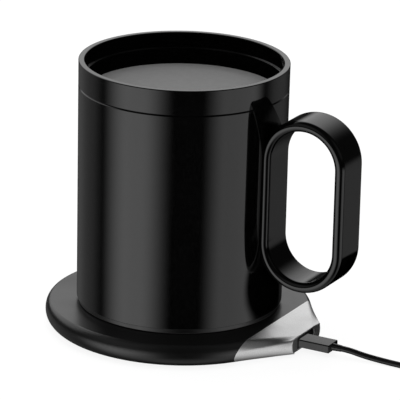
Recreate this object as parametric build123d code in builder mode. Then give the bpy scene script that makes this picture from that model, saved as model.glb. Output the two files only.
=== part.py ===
from build123d import *

import os
from math import cos, pi, radians, sin, sqrt, tan

# Electric mug warmer: a round warming base, its matching mug and its power cord.
# Origin: centre of the foot pad's face on the table. +Z up, +X towards the power socket.

os.makedirs("parts", exist_ok=True)

# ------------------------------------------------------------------ clearances (mm)
FIT = 0.1  # between pieces that are screwed, glued or pushed together
RUN = 0.3  # round the moving plate
SHAFT_FIT = 0.08  # round the switch plunger
PLUG_FIT = 0.15  # round the plug's shell in its socket

# ------------------------------------------------------------------ driving sizes (mm)
# hot plate and what it carries
PLATE_R = 36.0
PLATE_T = 1.4
PLATE_PROUD = 0.3  # above the disc's top with the mug on it
PLATE_TRAVEL = 0.8  # how far the plate rises when the mug is lifted off
PLATE_BEVEL = 0.4
GASKET_W = 1.0
GASKET_DROP = 0.15  # lip of the gasket below the disc's top
HEATER_T = 0.4
HEATER_GAP = 0.8  # from the heater's edge to the carrier's rim
INSULATION_T = 1.0
CARRIER_FLOOR = 0.8
CARRIER_RIM = 2.6  # wall round the insulation
FLANGE_LAP = 1.3  # how far the carrier's flange reaches under the casing
FUSE_R = 1.0
FUSE_L = 7.0
FUSE_PLACE = (-6.0, 10.0)
SENSOR_R = 1.2
SENSOR_L = 1.6
SENSOR_PLACE = (0.0, -8.0)
LEAD_X = 5.0  # where the heater's two leads go up through the carrier
LEAD_Y = 2.5
LEAD_R = 0.45

# base disc
LEDGE = 15.3  # from the plate's edge out to the widest radius, at the parting line
UNDERCUT = 5.5  # from the widest radius in to the flat of the underside
UNDER_Z = 0.2  # underside above the table
LOWER_H = 5.4  # underside to parting line
EDGE_RISE = 3.9  # parting line to flat top, in one elliptical quarter
EDGE_IN = 2.2  # from the widest radius in to the flat top
SHELL_WALL = 1.5
LIP_WALL = 0.8  # locating lip between the shells
LIP_HEIGHT = 0.8

# socket end of the base
CHORD_IN = 8.4  # straight edge of the silver cover on top, in from the widest radius
CUT_LEAN = 20  # degrees that the joint below this edge leans in under the disc
PORT_OUT = 3.9  # flat face that holds the socket, out from the widest radius
PORT_HALF = 11.4  # half-width of that face at its widest
PORT_WIDE_DROP = 0.6  # widest place below the parting line
PORT_UNDER_HALF = 9.3
PORT_UNDER_RISE = 1.0  # its lower edge above the disc's underside
PORT_CREASE_HALF = 7.7  # upper corners of the face
PORT_TOP_DROP = 2.1  # its upper edge below the disc's top
PORT_FLAT_HALF = 5.0
CREASE_ANGLE = 22  # degrees up the rounded edge where the cover's crease starts
LOW_ANGLES = (-90, -67, -45, -22, 0)  # stations round the lower edge
SHOULDER_ANGLES = (CREASE_ANGLE, 45, 68, 90)  # stations over the upper edge
TRIM_LIP = 0.4  # cover's wall at the socket face
BEZEL_T = 2.2
TONGUE_T = 0.9  # floor under the socket end

# foot pad
PAD_INSET = 1.0  # in from the flat of the underside
PAD_T = 0.6

# springs under the plate
SPRING_COUNT = 3
SPRING_START = 60  # degrees round from +X
SPRING_INSET = 6.0  # in from the plate's edge
SPRING_MEAN_R = 2.1
SPRING_WIRE = 0.5
SPRING_TURNS = 3
PEG_GAP = 0.45  # between a spring and the peg inside it
PEG_H = 1.1

# circuit board and switch
BOARD_T = 0.8
BOARD_START_X = 10.0
BOARD_END_GAP = 0.3  # wide part of the board ends this far before the joint with the cover
BOARD_HALF = 12.5
BOARD_ROUND = 1.5
NECK_HALF = 8.2
NECK_BAR = 2.0  # bar under the board's neck
POST_R = 2.2
POST_INSET = 2.9  # posts in from the board's sides
POST_START = 4.4  # and from its inner end
SWITCH_X = 20.0
SWITCH_SIDE = 4.2
SWITCH_H = 1.6
SWITCH_ROUND = 0.4
SWITCH_FLOOR = 0.3
PLUNGER_R = 0.9
BOARD_SCREW_R = 0.8
BOARD_HEAD_R = 1.45
BOARD_SCREW_L = 2.4
TERMINAL_X = 12.0

# surface-mounted parts: length, width and height, and their places from the board's wide end
CHIP_SIZE = (5.0, 4.0, 1.1)
CHIP_PLACES = [(-14.0, 4.5)]
TRANSISTOR_SIZE = (5.0, 4.2, 1.4)
TRANSISTOR_PLACES = [(-14.0, -5.0)]
CAPACITOR_SIZE = (3.2, 1.7, 1.6)
CAPACITOR_PLACES = [(-5.0, -7.0), (-5.0, -3.0), (-5.0, 7.5)]
RESISTOR_SIZE = (2.0, 1.2, 0.6)
RESISTOR_PLACES = [(-19.5, 6.5), (-19.5, -6.5), (-8.5, 2.0), (-5.0, 2.5)]
TERMINAL_SIZE = (2.4, 2.6, 1.0)

# housing screws
SCREW_COUNT = 4
SCREW_START = 45  # degrees round from +X
SCREW_R = 0.95
SCREW_L = 4.8
HEAD_R = 1.9
HEAD_T = 1.2
BOSS_WALL = 1.25  # upper boss, round the screw
BOSS_FOOT_WALL = 0.8  # lower boss, round the head's counterbore
BOSS_GAP = 0.6  # between the bosses and the carrier's flange
CLAMP_T = 1.0  # lower shell under the screw heads

# power plug and socket
PORT_RISE = 1.7  # axis of plug and socket above the casing's floor
SHEET_T = 0.3
SOCKET_L = 5.4
SOCKET_TAB = 1.4  # solder tabs beside the socket
TONGUE_SIDE = 0.4  # socket's tongue inside the plug's shell
SOCKET_TONGUE_T = 0.5
SOCKET_TONGUE_UP = 0.2
PLUG_SHELL_W = 6.7
PLUG_SHELL_H = 1.65
PLUG_SHELL_T = 0.25
PLUG_CUT = 0.3  # cut lower corners of socket and plug, as a share of their height
PLUG_SHELL_IN = 2.0  # length held in the grip
TIP_GAP = 0.5  # from the plug's tip to the socket's back
GRIP_IN = 1.2  # how far the grip goes into the recess
GRIP_L = 12.7
GRIP_W = 7.8
GRIP_H = 3.2
GRIP_ROUND = 0.45
RECESS_SIDE = 1.6  # recess round the grip
RECESS_UNDER = 0.15
RECESS_OVER = 0.45
RECESS_ROUND = 1.1
RELIEF_L = 3.5
RELIEF_R = 1.45

# mug
MUG_H = 95.6
MUG_TOP_R = 40.0
MUG_TAPER = 0.6  # less at the lower edge
FOOT_STEP = 0.6  # recessed foot, in from the outer wall
FOOT_REVEAL = 1.8  # height of the foot below the outer wall
FOOT_SPIGOT = 1.4
OUTER_WALL = 1.0
WALL_ROUND = 0.25  # lower edge of the outer wall
LINER_WALL = 0.8
WALL_GAP = 1.2  # air between outer wall and liner
LINER_FLOOR = 1.2
LINER_CORNER_R = 4.0
COLLAR_H = 9.8  # rim band above the seam groove
RIM_WALL = 2.3
STEP_DEPTH = 6.1  # step in the rim band's inner wall
RIM_ROUND = 0.35
GROOVE = 0.35  # chamfers that make the seam groove

# handle: an oblong ring of strap with rounded edges
HANDLE_SINK = 2.64  # ring's inner leg inside the mug's widest radius
HANDLE_W = 34.94
HANDLE_RISE = 15.35  # above the plate
HANDLE_DROP = 3.27  # below the seam groove
STRAP_T = 4.1
STRAP_W = 17.1
STRAP_ROUND = 1.95

# power cord
CORD_D = 2.3
COIL_CENTRE = (110.0, 21.0)
COIL_PITCH = 2.4
COIL_COLUMNS = 5
COIL_LAYERS = 2
COIL_MID_R = 14.4
TIE_T = 0.4
TIE_W = 4.0
TIE_ANGLE = 205
TAIL_ANGLE = 50  # where the far end leaves the coil, degrees from +X
FAR_START = (110.7, 46.1)  # where the cord goes into the far plug
FAR_ANGLE = 137

# far plug: length, width and height of its grip and shell
FAR_GRIP = (20.0, 14.5, 7.5)
FAR_ROUND = 1.6
FAR_SHELL = (18.5, 12.0, 4.5)
FAR_RELIEF_L = 7.0
FAR_RELIEF_R = 1.9
FAR_TONGUE_T = 1.9

# ------------------------------------------------------------------ derived sizes and places
BASE_R = PLATE_R + LEDGE
UNDER_R = BASE_R - UNDERCUT
PARTING_Z = UNDER_Z + LOWER_H
TOP_Z = PARTING_Z + EDGE_RISE
FLOOR_Z = UNDER_Z + SHELL_WALL
CEILING_Z = TOP_Z - SHELL_WALL
CHORD_X = BASE_R - CHORD_IN  # joint with the silver cover, at the disc's top
PORT_X = BASE_R + PORT_OUT
PORT_WIDE_Z = PARTING_Z - PORT_WIDE_DROP
PORT_UNDER_Z = UNDER_Z + PORT_UNDER_RISE
PORT_TOP_Z = TOP_Z - PORT_TOP_DROP
PAD_R = UNDER_R - PAD_INSET
CUT_UP = (sin(radians(CUT_LEAN)), 0, cos(radians(CUT_LEAN)))  # up along the joint
CUT_PLANE = Plane(
    origin=(CHORD_X, 0, TOP_Z), x_dir=(0, 1, 0), z_dir=(CUT_UP[2], 0, -CUT_UP[0])
)

PLATE_Z = TOP_Z + PLATE_PROUD
PLATE_UNDER_Z = PLATE_Z - PLATE_T
HEATER_R = PLATE_R - CARRIER_RIM - HEATER_GAP
HEATER_Z = PLATE_UNDER_Z - HEATER_T
INSULATION_Z = HEATER_Z - INSULATION_T
CARRIER_Z = INSULATION_Z - CARRIER_FLOOR
OPENING_R = PLATE_R + RUN + GASKET_W
FLANGE_R = OPENING_R + FLANGE_LAP
FLANGE_Z = CEILING_Z - PLATE_TRAVEL - RUN / 2
SPRING_CIRCLE = PLATE_R - SPRING_INSET
PEG_R = SPRING_MEAN_R - SPRING_WIRE / 2 - PEG_GAP

BOSS_R = SCREW_R + BOSS_WALL
BOSS_FOOT_R = HEAD_R + FIT + BOSS_FOOT_WALL
BOSS_Z = PAD_T + HEAD_T + FIT + CLAMP_T
SCREW_CIRCLE = FLANGE_R + BOSS_GAP + BOSS_R

PORT_Z = FLOOR_Z + PORT_RISE
BOARD_Z = PORT_Z - BOARD_T / 2
BOARD_TOP_Z = BOARD_Z + BOARD_T
BOARD_END_X = CHORD_X - (TOP_Z - FLOOR_Z) * CUT_UP[0] / CUT_UP[2] - BOARD_END_GAP
PLUNGER_IN = SWITCH_H - SWITCH_FLOOR - FIT
SOCKET_W = PLUG_SHELL_W + 2 * (PLUG_FIT + SHEET_T)
SOCKET_H = PLUG_SHELL_H + 2 * (PLUG_FIT + SHEET_T)
SOCKET_X = PORT_X - BEZEL_T - SOCKET_L
SOCKET_TONGUE_W = PLUG_SHELL_W - 2 * (PLUG_SHELL_T + TONGUE_SIDE)
GRIP_START_X = PORT_X - GRIP_IN
GRIP_BACK_X = GRIP_START_X + GRIP_L
PLUG_SHELL_OUT = GRIP_START_X - SOCKET_X - SHEET_T - TIP_GAP
RECESS_W = GRIP_W + 2 * RECESS_SIDE
RECESS_H = GRIP_H + RECESS_UNDER + RECESS_OVER
RECESS_Z = PORT_Z - GRIP_H / 2 - RECESS_UNDER
RELIEF_X = GRIP_BACK_X + RELIEF_L

MUG_Z = PLATE_Z
MUG_TOP_Z = MUG_Z + MUG_H
MUG_LOW_R = MUG_TOP_R - MUG_TAPER
FOOT_R = MUG_LOW_R - FOOT_STEP
WALL_Z = MUG_Z + FOOT_REVEAL  # lower edge of the mug's outer wall
SEAM_Z = MUG_TOP_Z - COLLAR_H
STEP_Z = MUG_TOP_Z - STEP_DEPTH
LINER_UNDER_Z = WALL_Z + FOOT_SPIGOT
LINER_TOP_R = MUG_TOP_R - OUTER_WALL - WALL_GAP - LINER_WALL  # inside, at the step
LINER_LOW_R = LINER_TOP_R - MUG_TAPER
HANDLE_IN_R = MUG_TOP_R - HANDLE_SINK
HANDLE_OUT_R = HANDLE_IN_R + HANDLE_W
HANDLE_LOW_Z = MUG_Z + HANDLE_RISE
HANDLE_TOP_Z = SEAM_Z - HANDLE_DROP

CORD_R = CORD_D / 2
COIL_IN_R = COIL_MID_R - (COIL_COLUMNS - 1) / 2 * COIL_PITCH
COIL_OUT_R = COIL_MID_R + (COIL_COLUMNS - 1) / 2 * COIL_PITCH
COIL_LAYER_Z = [TIE_T + CORD_R + n * CORD_D for n in range(COIL_LAYERS)]
FAR_Z = FAR_GRIP[2] / 2


def finish(piece, name):
    """Label a finished piece and write it as its own node."""
    piece.part.label = name
    export_step(piece.part, f"parts/{name}.step")


def polar(radius, degrees, z=0.0):
    """Point at a radius and angle round the base's axis."""
    return (radius * cos(radians(degrees)), radius * sin(radians(degrees)), z)


def disc_edge(degrees, wall):
    """Radius and height of the disc's edge, from -90 (underside) to 90 (top)."""
    across, up = cos(radians(degrees)), sin(radians(degrees))
    if degrees > 0:
        return (
            BASE_R - EDGE_IN + (EDGE_IN - wall) * across,
            PARTING_Z + (EDGE_RISE - wall) * up,
        )
    return (
        UNDER_R + (BASE_R - UNDER_R - wall) * across,
        PARTING_Z + (PARTING_Z - UNDER_Z - wall) * up,
    )


def cut_x(z):
    """Place of the leaning joint with the silver cover, at a height."""
    return CHORD_X - (TOP_Z - z) * CUT_UP[0] / CUT_UP[2]


def chord_outline(wall):
    """Half outline of the disc in the leaning joint, from its straight edge on top."""

    def point(degrees):
        radius, z = disc_edge(degrees, wall)
        return sqrt(radius**2 - cut_x(z) ** 2), (z - TOP_Z) / CUT_UP[2]

    low = [point(a) for a in LOW_ANGLES]
    side = [point(a) for a in (0, CREASE_ANGLE / 2, CREASE_ANGLE)]
    shoulder = [point(a) for a in SHOULDER_ANGLES]
    return low, side, shoulder


def port_outline(wall):
    """Half outline of the socket face."""
    swell = PORT_HALF - PORT_UNDER_HALF - wall
    drop = PORT_WIDE_Z - PORT_UNDER_Z - wall
    low = [
        (PORT_UNDER_HALF + swell * cos(radians(a)), PORT_WIDE_Z + drop * sin(radians(a)))
        for a in LOW_ANGLES
    ]
    crease = (PORT_CREASE_HALF - wall / 2, PORT_TOP_Z - wall)
    middle = ((low[-1][0] + crease[0]) / 2, (low[-1][1] + crease[1]) / 2)
    flat = (PORT_FLAT_HALF - wall / 2, PORT_TOP_Z - wall)
    across = [(crease[0] + (flat[0] - crease[0]) * s, flat[1]) for s in (0, 1 / 3, 2 / 3, 1)]
    return low, [low[-1], middle, crease], across


def socket_end(chord_wall, port_wall):
    """Solid of the base's socket end, `wall` inside its outer skin at each end."""
    with BuildPart() as body:
        for plane, (low, side, shoulder) in (
            (CUT_PLANE, chord_outline(chord_wall)),
            (Plane.YZ.offset(PORT_X), port_outline(port_wall)),
        ):
            with BuildSketch(plane):
                with BuildLine():
                    Line((0, low[0][1]), low[0])
                    Spline(*low)
                    Spline(*side)
                    Spline(*shoulder)
                    Line(shoulder[-1], (0, shoulder[-1][1]))
                    mirror(about=Plane.YZ)
                make_face()
        loft(ruled=True)
    return body.part


def tongue_prism(inset):
    """Tall block over the flat strip of the socket end's underside."""
    start_x = cut_x(UNDER_Z)
    half = sqrt(UNDER_R**2 - start_x**2) - inset
    end = PORT_UNDER_HALF - inset
    with BuildPart() as block:
        with BuildSketch():
            with BuildLine():
                Polyline(
                    (start_x, -half), (PORT_X, -end), (PORT_X, end), (start_x, half), close=True
                )
            make_face()
        extrude(amount=PARTING_Z - SHELL_WALL)
    return block.part


def plug_outline(width, height):
    """Outline with two cut lower corners, as the small power plug has."""
    cut = PLUG_CUT * height
    corners = (
        (-width / 2, height / 2),
        (width / 2, height / 2),
        (width / 2, cut - height / 2),
        (width / 2 - cut, -height / 2),
        (cut - width / 2, -height / 2),
        (-width / 2, cut - height / 2),
    )
    Polygon(*corners, align=None)


def plate_cutouts(mode):
    """Openings for the sensor, the fuse and the leads, in the sketch in hand."""
    with Locations(SENSOR_PLACE):
        Circle(SENSOR_R + RUN, mode=mode)
    with Locations(FUSE_PLACE):
        Rectangle(2 * (FUSE_R + RUN), FUSE_L + 2 * RUN, mode=mode)
    with Locations((LEAD_X, -LEAD_Y), (LEAD_X, LEAD_Y)):
        Circle(LEAD_R + 2 * RUN, mode=mode)


def cup_radius(z, low, top):
    """Radius at height z of a mug wall that widens from its foot to its rim."""
    return low + (top - low) * (z - WALL_Z) / (MUG_TOP_Z - WALL_Z)


def corner_radii(points):
    """Largest tangent arcs that the runs of a cord's route leave room for."""
    vectors = [Vector(*p) for p in points]
    radii = []
    for before, corner, after in zip(vectors, vectors[1:], vectors[2:]):
        run_in, run_out = corner - before, after - corner
        half_turn = radians(run_in.get_angle(run_out)) / 2
        radii.append(0.45 * min(run_in.length, run_out.length) / tan(half_turn))
    return radii


def cord_tube(points, name):
    """Round cord along straight runs joined by tangent arcs."""
    radii = corner_radii(points)
    with BuildPart() as tube:
        with BuildLine() as route:
            FilletPolyline(*points, radius=radii)
        with BuildSketch(Plane(origin=route.line @ 0, z_dir=route.line % 0)):
            Circle(CORD_R)
        sweep()
    length = sum(edge.length for edge in route.edges())
    print(name, "radii", [round(r, 1) for r in radii], "length", round(length, 2))
    print(name, "volume / (section x length)", round(tube.part.volume / (pi * CORD_R**2 * length), 4))
    return tube


# ================================================================== shared solids
end_skin = socket_end(0, 0)
end_core = socket_end(SHELL_WALL, TRIM_LIP)
tongue = (end_skin & tongue_prism(FIT)) - Pos(0, 0, TONGUE_T) * end_skin
bezel_core = socket_end(SHELL_WALL + FIT, TRIM_LIP + FIT) + (end_skin & tongue_prism(FIT))
open_floor = tongue_prism(0)
board_posts = [(BOARD_START_X + POST_START, side * (BOARD_HALF - POST_INSET)) for side in (-1, 1)]

# ================================================================== base: casing
with BuildPart() as bottom_shell:
    with BuildSketch(Plane.XZ):
        with BuildLine():
            Line((0, UNDER_Z), (UNDER_R, UNDER_Z))
            EllipticalCenterArc(
                (UNDER_R, PARTING_Z), BASE_R - UNDER_R, PARTING_Z - UNDER_Z, 270, arc_size=90
            )
            Line((BASE_R, PARTING_Z), (BASE_R - SHELL_WALL, PARTING_Z))
            EllipticalCenterArc(
                (UNDER_R, PARTING_Z),
                BASE_R - UNDER_R - SHELL_WALL,
                PARTING_Z - FLOOR_Z,
                270,
                arc_size=90,
            )
            Polyline((UNDER_R, FLOOR_Z), (0, FLOOR_Z), (0, UNDER_Z))
        make_face()
    revolve(axis=Axis.Z)
    # lip that centres the upper shell
    lip_r = BASE_R - SHELL_WALL - 2 * FIT
    for lip_z, outer_r in ((PARTING_Z - LIP_HEIGHT, lip_r + LIP_WALL), (PARTING_Z, lip_r)):
        with BuildSketch(Plane.XY.offset(lip_z)):
            Circle(outer_r)
            Circle(lip_r - LIP_WALL, mode=Mode.SUBTRACT)
        extrude(amount=LIP_HEIGHT)
    split(bisect_by=CUT_PLANE, keep=Keep.BOTTOM)
    # screw bosses, spring pegs, board posts and the bar that carries the board's neck
    with BuildSketch(Plane.XY.offset(FLOOR_Z)):
        with PolarLocations(SCREW_CIRCLE, SCREW_COUNT, start_angle=SCREW_START):
            Circle(BOSS_FOOT_R)
    extrude(amount=BOSS_Z - FLOOR_Z)
    with BuildSketch(Plane.XY.offset(FLOOR_Z)):
        with PolarLocations(SPRING_CIRCLE, SPRING_COUNT, start_angle=SPRING_START):
            Circle(PEG_R)
    extrude(amount=PEG_H)
    with BuildSketch(Plane.XY.offset(FLOOR_Z)):
        with Locations(*board_posts):
            Circle(POST_R)
        with Locations((BOARD_END_X - NECK_BAR, 0)):
            Rectangle(NECK_BAR, 2 * NECK_HALF)
    extrude(amount=BOARD_Z - FLOOR_Z)
    # floor of the socket end, up to the bezel
    add(tongue)
    with BuildSketch(Plane.YZ.offset(PORT_X - BEZEL_T)):
        Rectangle(4 * BASE_R, 4 * BASE_R)
    extrude(amount=2 * BEZEL_T, mode=Mode.SUBTRACT)
    # recess for the foot pad
    with BuildSketch(Plane.XY.offset(UNDER_Z)):
        Circle(PAD_R + FIT)
    extrude(amount=PAD_T - UNDER_Z, mode=Mode.SUBTRACT)
    # counterbores under the pad, with clearance holes above them
    with BuildSketch(Plane.XY.offset(PAD_T)):
        with PolarLocations(SCREW_CIRCLE, SCREW_COUNT, start_angle=SCREW_START):
            Circle(HEAD_R + FIT)
    extrude(amount=HEAD_T + FIT, mode=Mode.SUBTRACT)
    with BuildSketch(Plane.XY.offset(PAD_T)):
        with PolarLocations(SCREW_CIRCLE, SCREW_COUNT, start_angle=SCREW_START):
            Circle(SCREW_R + FIT)
    extrude(amount=BOSS_Z, mode=Mode.SUBTRACT)
    # pilot holes for the board's screws
    with BuildSketch(Plane.XY.offset(BOARD_Z)):
        with Locations(*board_posts):
            Circle(BOARD_SCREW_R + FIT)
    extrude(amount=BOARD_TOP_Z - BOARD_SCREW_L - BOARD_Z - FIT, mode=Mode.SUBTRACT)
finish(bottom_shell, "bottom_shell")

with BuildPart() as top_shell:
    with BuildSketch(Plane.XZ):
        with BuildLine():
            edge_centre = (BASE_R - EDGE_IN, PARTING_Z)
            Line((OPENING_R, TOP_Z), (edge_centre[0], TOP_Z))
            EllipticalCenterArc(edge_centre, EDGE_IN, EDGE_RISE, 0, arc_size=90)
            Line((BASE_R, PARTING_Z), (BASE_R - SHELL_WALL, PARTING_Z))
            EllipticalCenterArc(
                edge_centre, EDGE_IN - SHELL_WALL, EDGE_RISE - SHELL_WALL, 0, arc_size=90
            )
            Polyline(
                (edge_centre[0], CEILING_Z), (OPENING_R, CEILING_Z), (OPENING_R, TOP_Z)
            )
        make_face()
    revolve(axis=Axis.Z)
    split(bisect_by=CUT_PLANE, keep=Keep.BOTTOM)
    with BuildSketch(Plane.XY.offset(BOSS_Z)):
        with PolarLocations(SCREW_CIRCLE, SCREW_COUNT, start_angle=SCREW_START):
            Circle(BOSS_R)
    extrude(amount=CEILING_Z - BOSS_Z)
    with BuildSketch(Plane.XY.offset(BOSS_Z)):
        with PolarLocations(SCREW_CIRCLE, SCREW_COUNT, start_angle=SCREW_START):
            Circle(SCREW_R + FIT / 2)
    extrude(amount=PAD_T + HEAD_T + SCREW_L - BOSS_Z + FIT, mode=Mode.SUBTRACT)
finish(top_shell, "top_shell")

with BuildPart() as port_cover:
    add(end_skin)
    add(end_core, mode=Mode.SUBTRACT)
    add(open_floor, mode=Mode.SUBTRACT)
finish(port_cover, "port_cover")

with BuildPart() as port_bezel:
    add(bezel_core)
    split(bisect_by=Plane.YZ.offset(PORT_X - BEZEL_T), keep=Keep.TOP)
    with BuildSketch(Plane.YZ.offset(PORT_X)):
        with Locations((0, RECESS_Z + RECESS_H / 2)):
            RectangleRounded(RECESS_W, RECESS_H, RECESS_ROUND)
    extrude(amount=-BEZEL_T, mode=Mode.SUBTRACT)
finish(port_bezel, "port_bezel")

with BuildPart() as foot_pad:
    Cylinder(PAD_R, PAD_T, align=(Align.CENTER, Align.CENTER, Align.MIN))
    fillet(foot_pad.edges().sort_by(Axis.Z)[0], UNDER_Z / 2)
finish(foot_pad, "foot_pad")

with BuildPart() as plate_gasket:
    with BuildSketch(Plane.XY.offset(CEILING_Z)):
        Circle(OPENING_R)
        Circle(OPENING_R - GASKET_W, mode=Mode.SUBTRACT)
    extrude(amount=TOP_Z - GASKET_DROP - CEILING_Z)
    chamfer(plate_gasket.edges().group_by(Axis.Z)[-1].sort_by(SortBy.LENGTH)[0], GASKET_W / 3)
finish(plate_gasket, "plate_gasket")

with BuildPart() as housing_screws:
    with BuildSketch(Plane.XY.offset(PAD_T + FIT)):
        with PolarLocations(SCREW_CIRCLE, SCREW_COUNT, start_angle=SCREW_START):
            Circle(HEAD_R)
    extrude(amount=HEAD_T)
    chamfer(housing_screws.edges().group_by(Axis.Z)[0], HEAD_T / 4)
    with BuildSketch(Plane.XY.offset(PAD_T + FIT + HEAD_T)):
        with PolarLocations(SCREW_CIRCLE, SCREW_COUNT, start_angle=SCREW_START):
            Circle(SCREW_R)
    extrude(amount=SCREW_L - FIT)
finish(housing_screws, "housing_screws")

# ================================================================== base: electronics
with BuildPart() as circuit_board:
    with BuildSketch(Plane.XY.offset(BOARD_Z)):
        with Locations(((BOARD_START_X + BOARD_END_X) / 2, 0)):
            RectangleRounded(BOARD_END_X - BOARD_START_X, 2 * BOARD_HALF, BOARD_ROUND)
        with Locations(((BOARD_END_X + SOCKET_X + SOCKET_L / 2) / 2, 0)):
            Rectangle(SOCKET_X + SOCKET_L / 2 - BOARD_END_X + 2 * FIT, 2 * NECK_HALF)
        # the socket sits in a notch, halfway through the board
        with Locations((SOCKET_X + SOCKET_L / 2, 0)):
            Rectangle(SOCKET_L + 2 * FIT, SOCKET_W + 2 * FIT, mode=Mode.SUBTRACT)
        with Locations(*board_posts):
            Circle(BOARD_SCREW_R + FIT, mode=Mode.SUBTRACT)
    extrude(amount=BOARD_T)
finish(circuit_board, "circuit_board")

with BuildPart() as board_screws:
    with BuildSketch(Plane.XY.offset(BOARD_TOP_Z)):
        with Locations(*board_posts):
            Circle(BOARD_HEAD_R)
    extrude(amount=BOARD_SCREW_R)
    with BuildSketch(Plane.XY.offset(BOARD_TOP_Z)):
        with Locations(*board_posts):
            Circle(BOARD_SCREW_R)
    extrude(amount=-BOARD_SCREW_L)
finish(board_screws, "board_screws")

terminal_places = [(TERMINAL_X - BOARD_END_X, side * LEAD_Y) for side in (-1, 1)]
for name, size, places in (
    ("control_chip", CHIP_SIZE, CHIP_PLACES),
    ("heater_transistor", TRANSISTOR_SIZE, TRANSISTOR_PLACES),
    ("filter_capacitors", CAPACITOR_SIZE, CAPACITOR_PLACES),
    ("chip_resistors", RESISTOR_SIZE, RESISTOR_PLACES),
    ("wire_terminals", TERMINAL_SIZE, terminal_places),
):
    length, width, height = size
    with BuildPart() as board_part:
        with BuildSketch(Plane.XY.offset(BOARD_TOP_Z)):
            with Locations(*[(BOARD_END_X + x, y) for x, y in places]):
                Rectangle(length, width)
        extrude(amount=height)
        chamfer(board_part.edges().group_by(Axis.Z)[-1], height / 6)
    finish(board_part, name)

with BuildPart() as usb_socket:
    with BuildSketch(Plane.YZ.offset(SOCKET_X)):
        with Locations((0, PORT_Z)):
            plug_outline(SOCKET_W, SOCKET_H)
    extrude(amount=SOCKET_L)
    with BuildSketch(Plane.YZ.offset(SOCKET_X + SHEET_T)):
        with Locations((0, PORT_Z)):
            plug_outline(SOCKET_W - 2 * SHEET_T, SOCKET_H - 2 * SHEET_T)
    extrude(amount=SOCKET_L, mode=Mode.SUBTRACT)
    # solder tabs on the board
    with BuildSketch(Plane.XY.offset(BOARD_TOP_Z)):
        for side in (-1, 1):
            with Locations((SOCKET_X + SOCKET_L / 4, side * (SOCKET_W + SOCKET_TAB) / 2)):
                Rectangle(SOCKET_TAB, SOCKET_TAB)
    extrude(amount=SHEET_T)
finish(usb_socket, "usb_socket")

with BuildPart() as socket_tongue:
    with BuildSketch(Plane.YZ.offset(SOCKET_X + SHEET_T)):
        with Locations((0, PORT_Z + SOCKET_TONGUE_UP)):
            Rectangle(SOCKET_TONGUE_W, SOCKET_TONGUE_T)
    extrude(amount=SOCKET_L - 3 * SHEET_T)
finish(socket_tongue, "socket_tongue")

with BuildPart() as switch_body:
    with BuildSketch(Plane.XY.offset(BOARD_TOP_Z)):
        with Locations((SWITCH_X, 0)):
            RectangleRounded(SWITCH_SIDE, SWITCH_SIDE, SWITCH_ROUND)
    extrude(amount=SWITCH_H)
    with BuildSketch(Plane.XY.offset(BOARD_TOP_Z + SWITCH_H)):
        with Locations((SWITCH_X, 0)):
            Circle(PLUNGER_R + SHAFT_FIT)
    extrude(amount=-PLUNGER_IN - FIT, mode=Mode.SUBTRACT)
finish(switch_body, "switch_body")

with BuildPart() as switch_plunger:
    with BuildSketch(Plane.XY.offset(BOARD_TOP_Z + SWITCH_H - PLUNGER_IN)):
        with Locations((SWITCH_X, 0)):
            Circle(PLUNGER_R)
    extrude(amount=CARRIER_Z - BOARD_TOP_Z - SWITCH_H + PLUNGER_IN)
    fillet(switch_plunger.edges().sort_by(Axis.Z)[-1], PLUNGER_R / 3)
finish(switch_plunger, "switch_plunger")

# ================================================================== hot plate
with BuildPart() as hot_plate:
    with BuildSketch(Plane.XY.offset(PLATE_UNDER_Z)):
        Circle(PLATE_R)
    extrude(amount=PLATE_T)
    chamfer(hot_plate.edges().sort_by(Axis.Z)[-1], PLATE_BEVEL)
finish(hot_plate, "hot_plate")

with BuildPart() as heater_element:
    with BuildSketch(Plane.XY.offset(HEATER_Z)):
        Circle(HEATER_R)
    extrude(amount=HEATER_T)
finish(heater_element, "heater_element")

with BuildPart() as insulation_disc:
    with BuildSketch(Plane.XY.offset(INSULATION_Z)):
        Circle(PLATE_R - CARRIER_RIM - FIT)
        plate_cutouts(Mode.SUBTRACT)
    extrude(amount=INSULATION_T)
finish(insulation_disc, "insulation_disc")

with BuildPart() as plate_carrier:
    with BuildSketch(Plane.XZ):
        with BuildLine():
            Polyline(
                (0, CARRIER_Z),
                (FLANGE_R, CARRIER_Z),
                (FLANGE_R, FLANGE_Z),
                (PLATE_R, FLANGE_Z),
                (PLATE_R, PLATE_UNDER_Z),
                (PLATE_R - CARRIER_RIM, PLATE_UNDER_Z),
                (PLATE_R - CARRIER_RIM, INSULATION_Z),
                (0, INSULATION_Z),
                close=True,
            )
        make_face()
    revolve(axis=Axis.Z)
    with BuildSketch(Plane.XY.offset(CARRIER_Z)):
        with PolarLocations(SPRING_CIRCLE, SPRING_COUNT, start_angle=SPRING_START):
            Circle(PEG_R)
    extrude(amount=-PEG_H)
    with BuildSketch(Plane.XY.offset(CARRIER_Z)):
        plate_cutouts(Mode.ADD)
    extrude(amount=CARRIER_FLOOR, mode=Mode.SUBTRACT)
finish(plate_carrier, "plate_carrier")

with BuildPart() as temperature_sensor:
    with BuildSketch(Plane.XY.offset(HEATER_Z)):
        with Locations(SENSOR_PLACE):
            Circle(SENSOR_R)
    extrude(amount=-SENSOR_L)
    fillet(temperature_sensor.edges().sort_by(Axis.Z)[0], SENSOR_R / 2)
finish(temperature_sensor, "temperature_sensor")

with BuildPart() as thermal_fuse:
    fuse_start = (FUSE_PLACE[0], FUSE_PLACE[1] - FUSE_L / 2, HEATER_Z - FUSE_R)
    with BuildSketch(Plane(origin=fuse_start, z_dir=(0, 1, 0))):
        Circle(FUSE_R)
    extrude(amount=FUSE_L)
    chamfer(thermal_fuse.edges().filter_by(GeomType.CIRCLE), FUSE_R / 4)
finish(thermal_fuse, "thermal_fuse")

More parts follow.
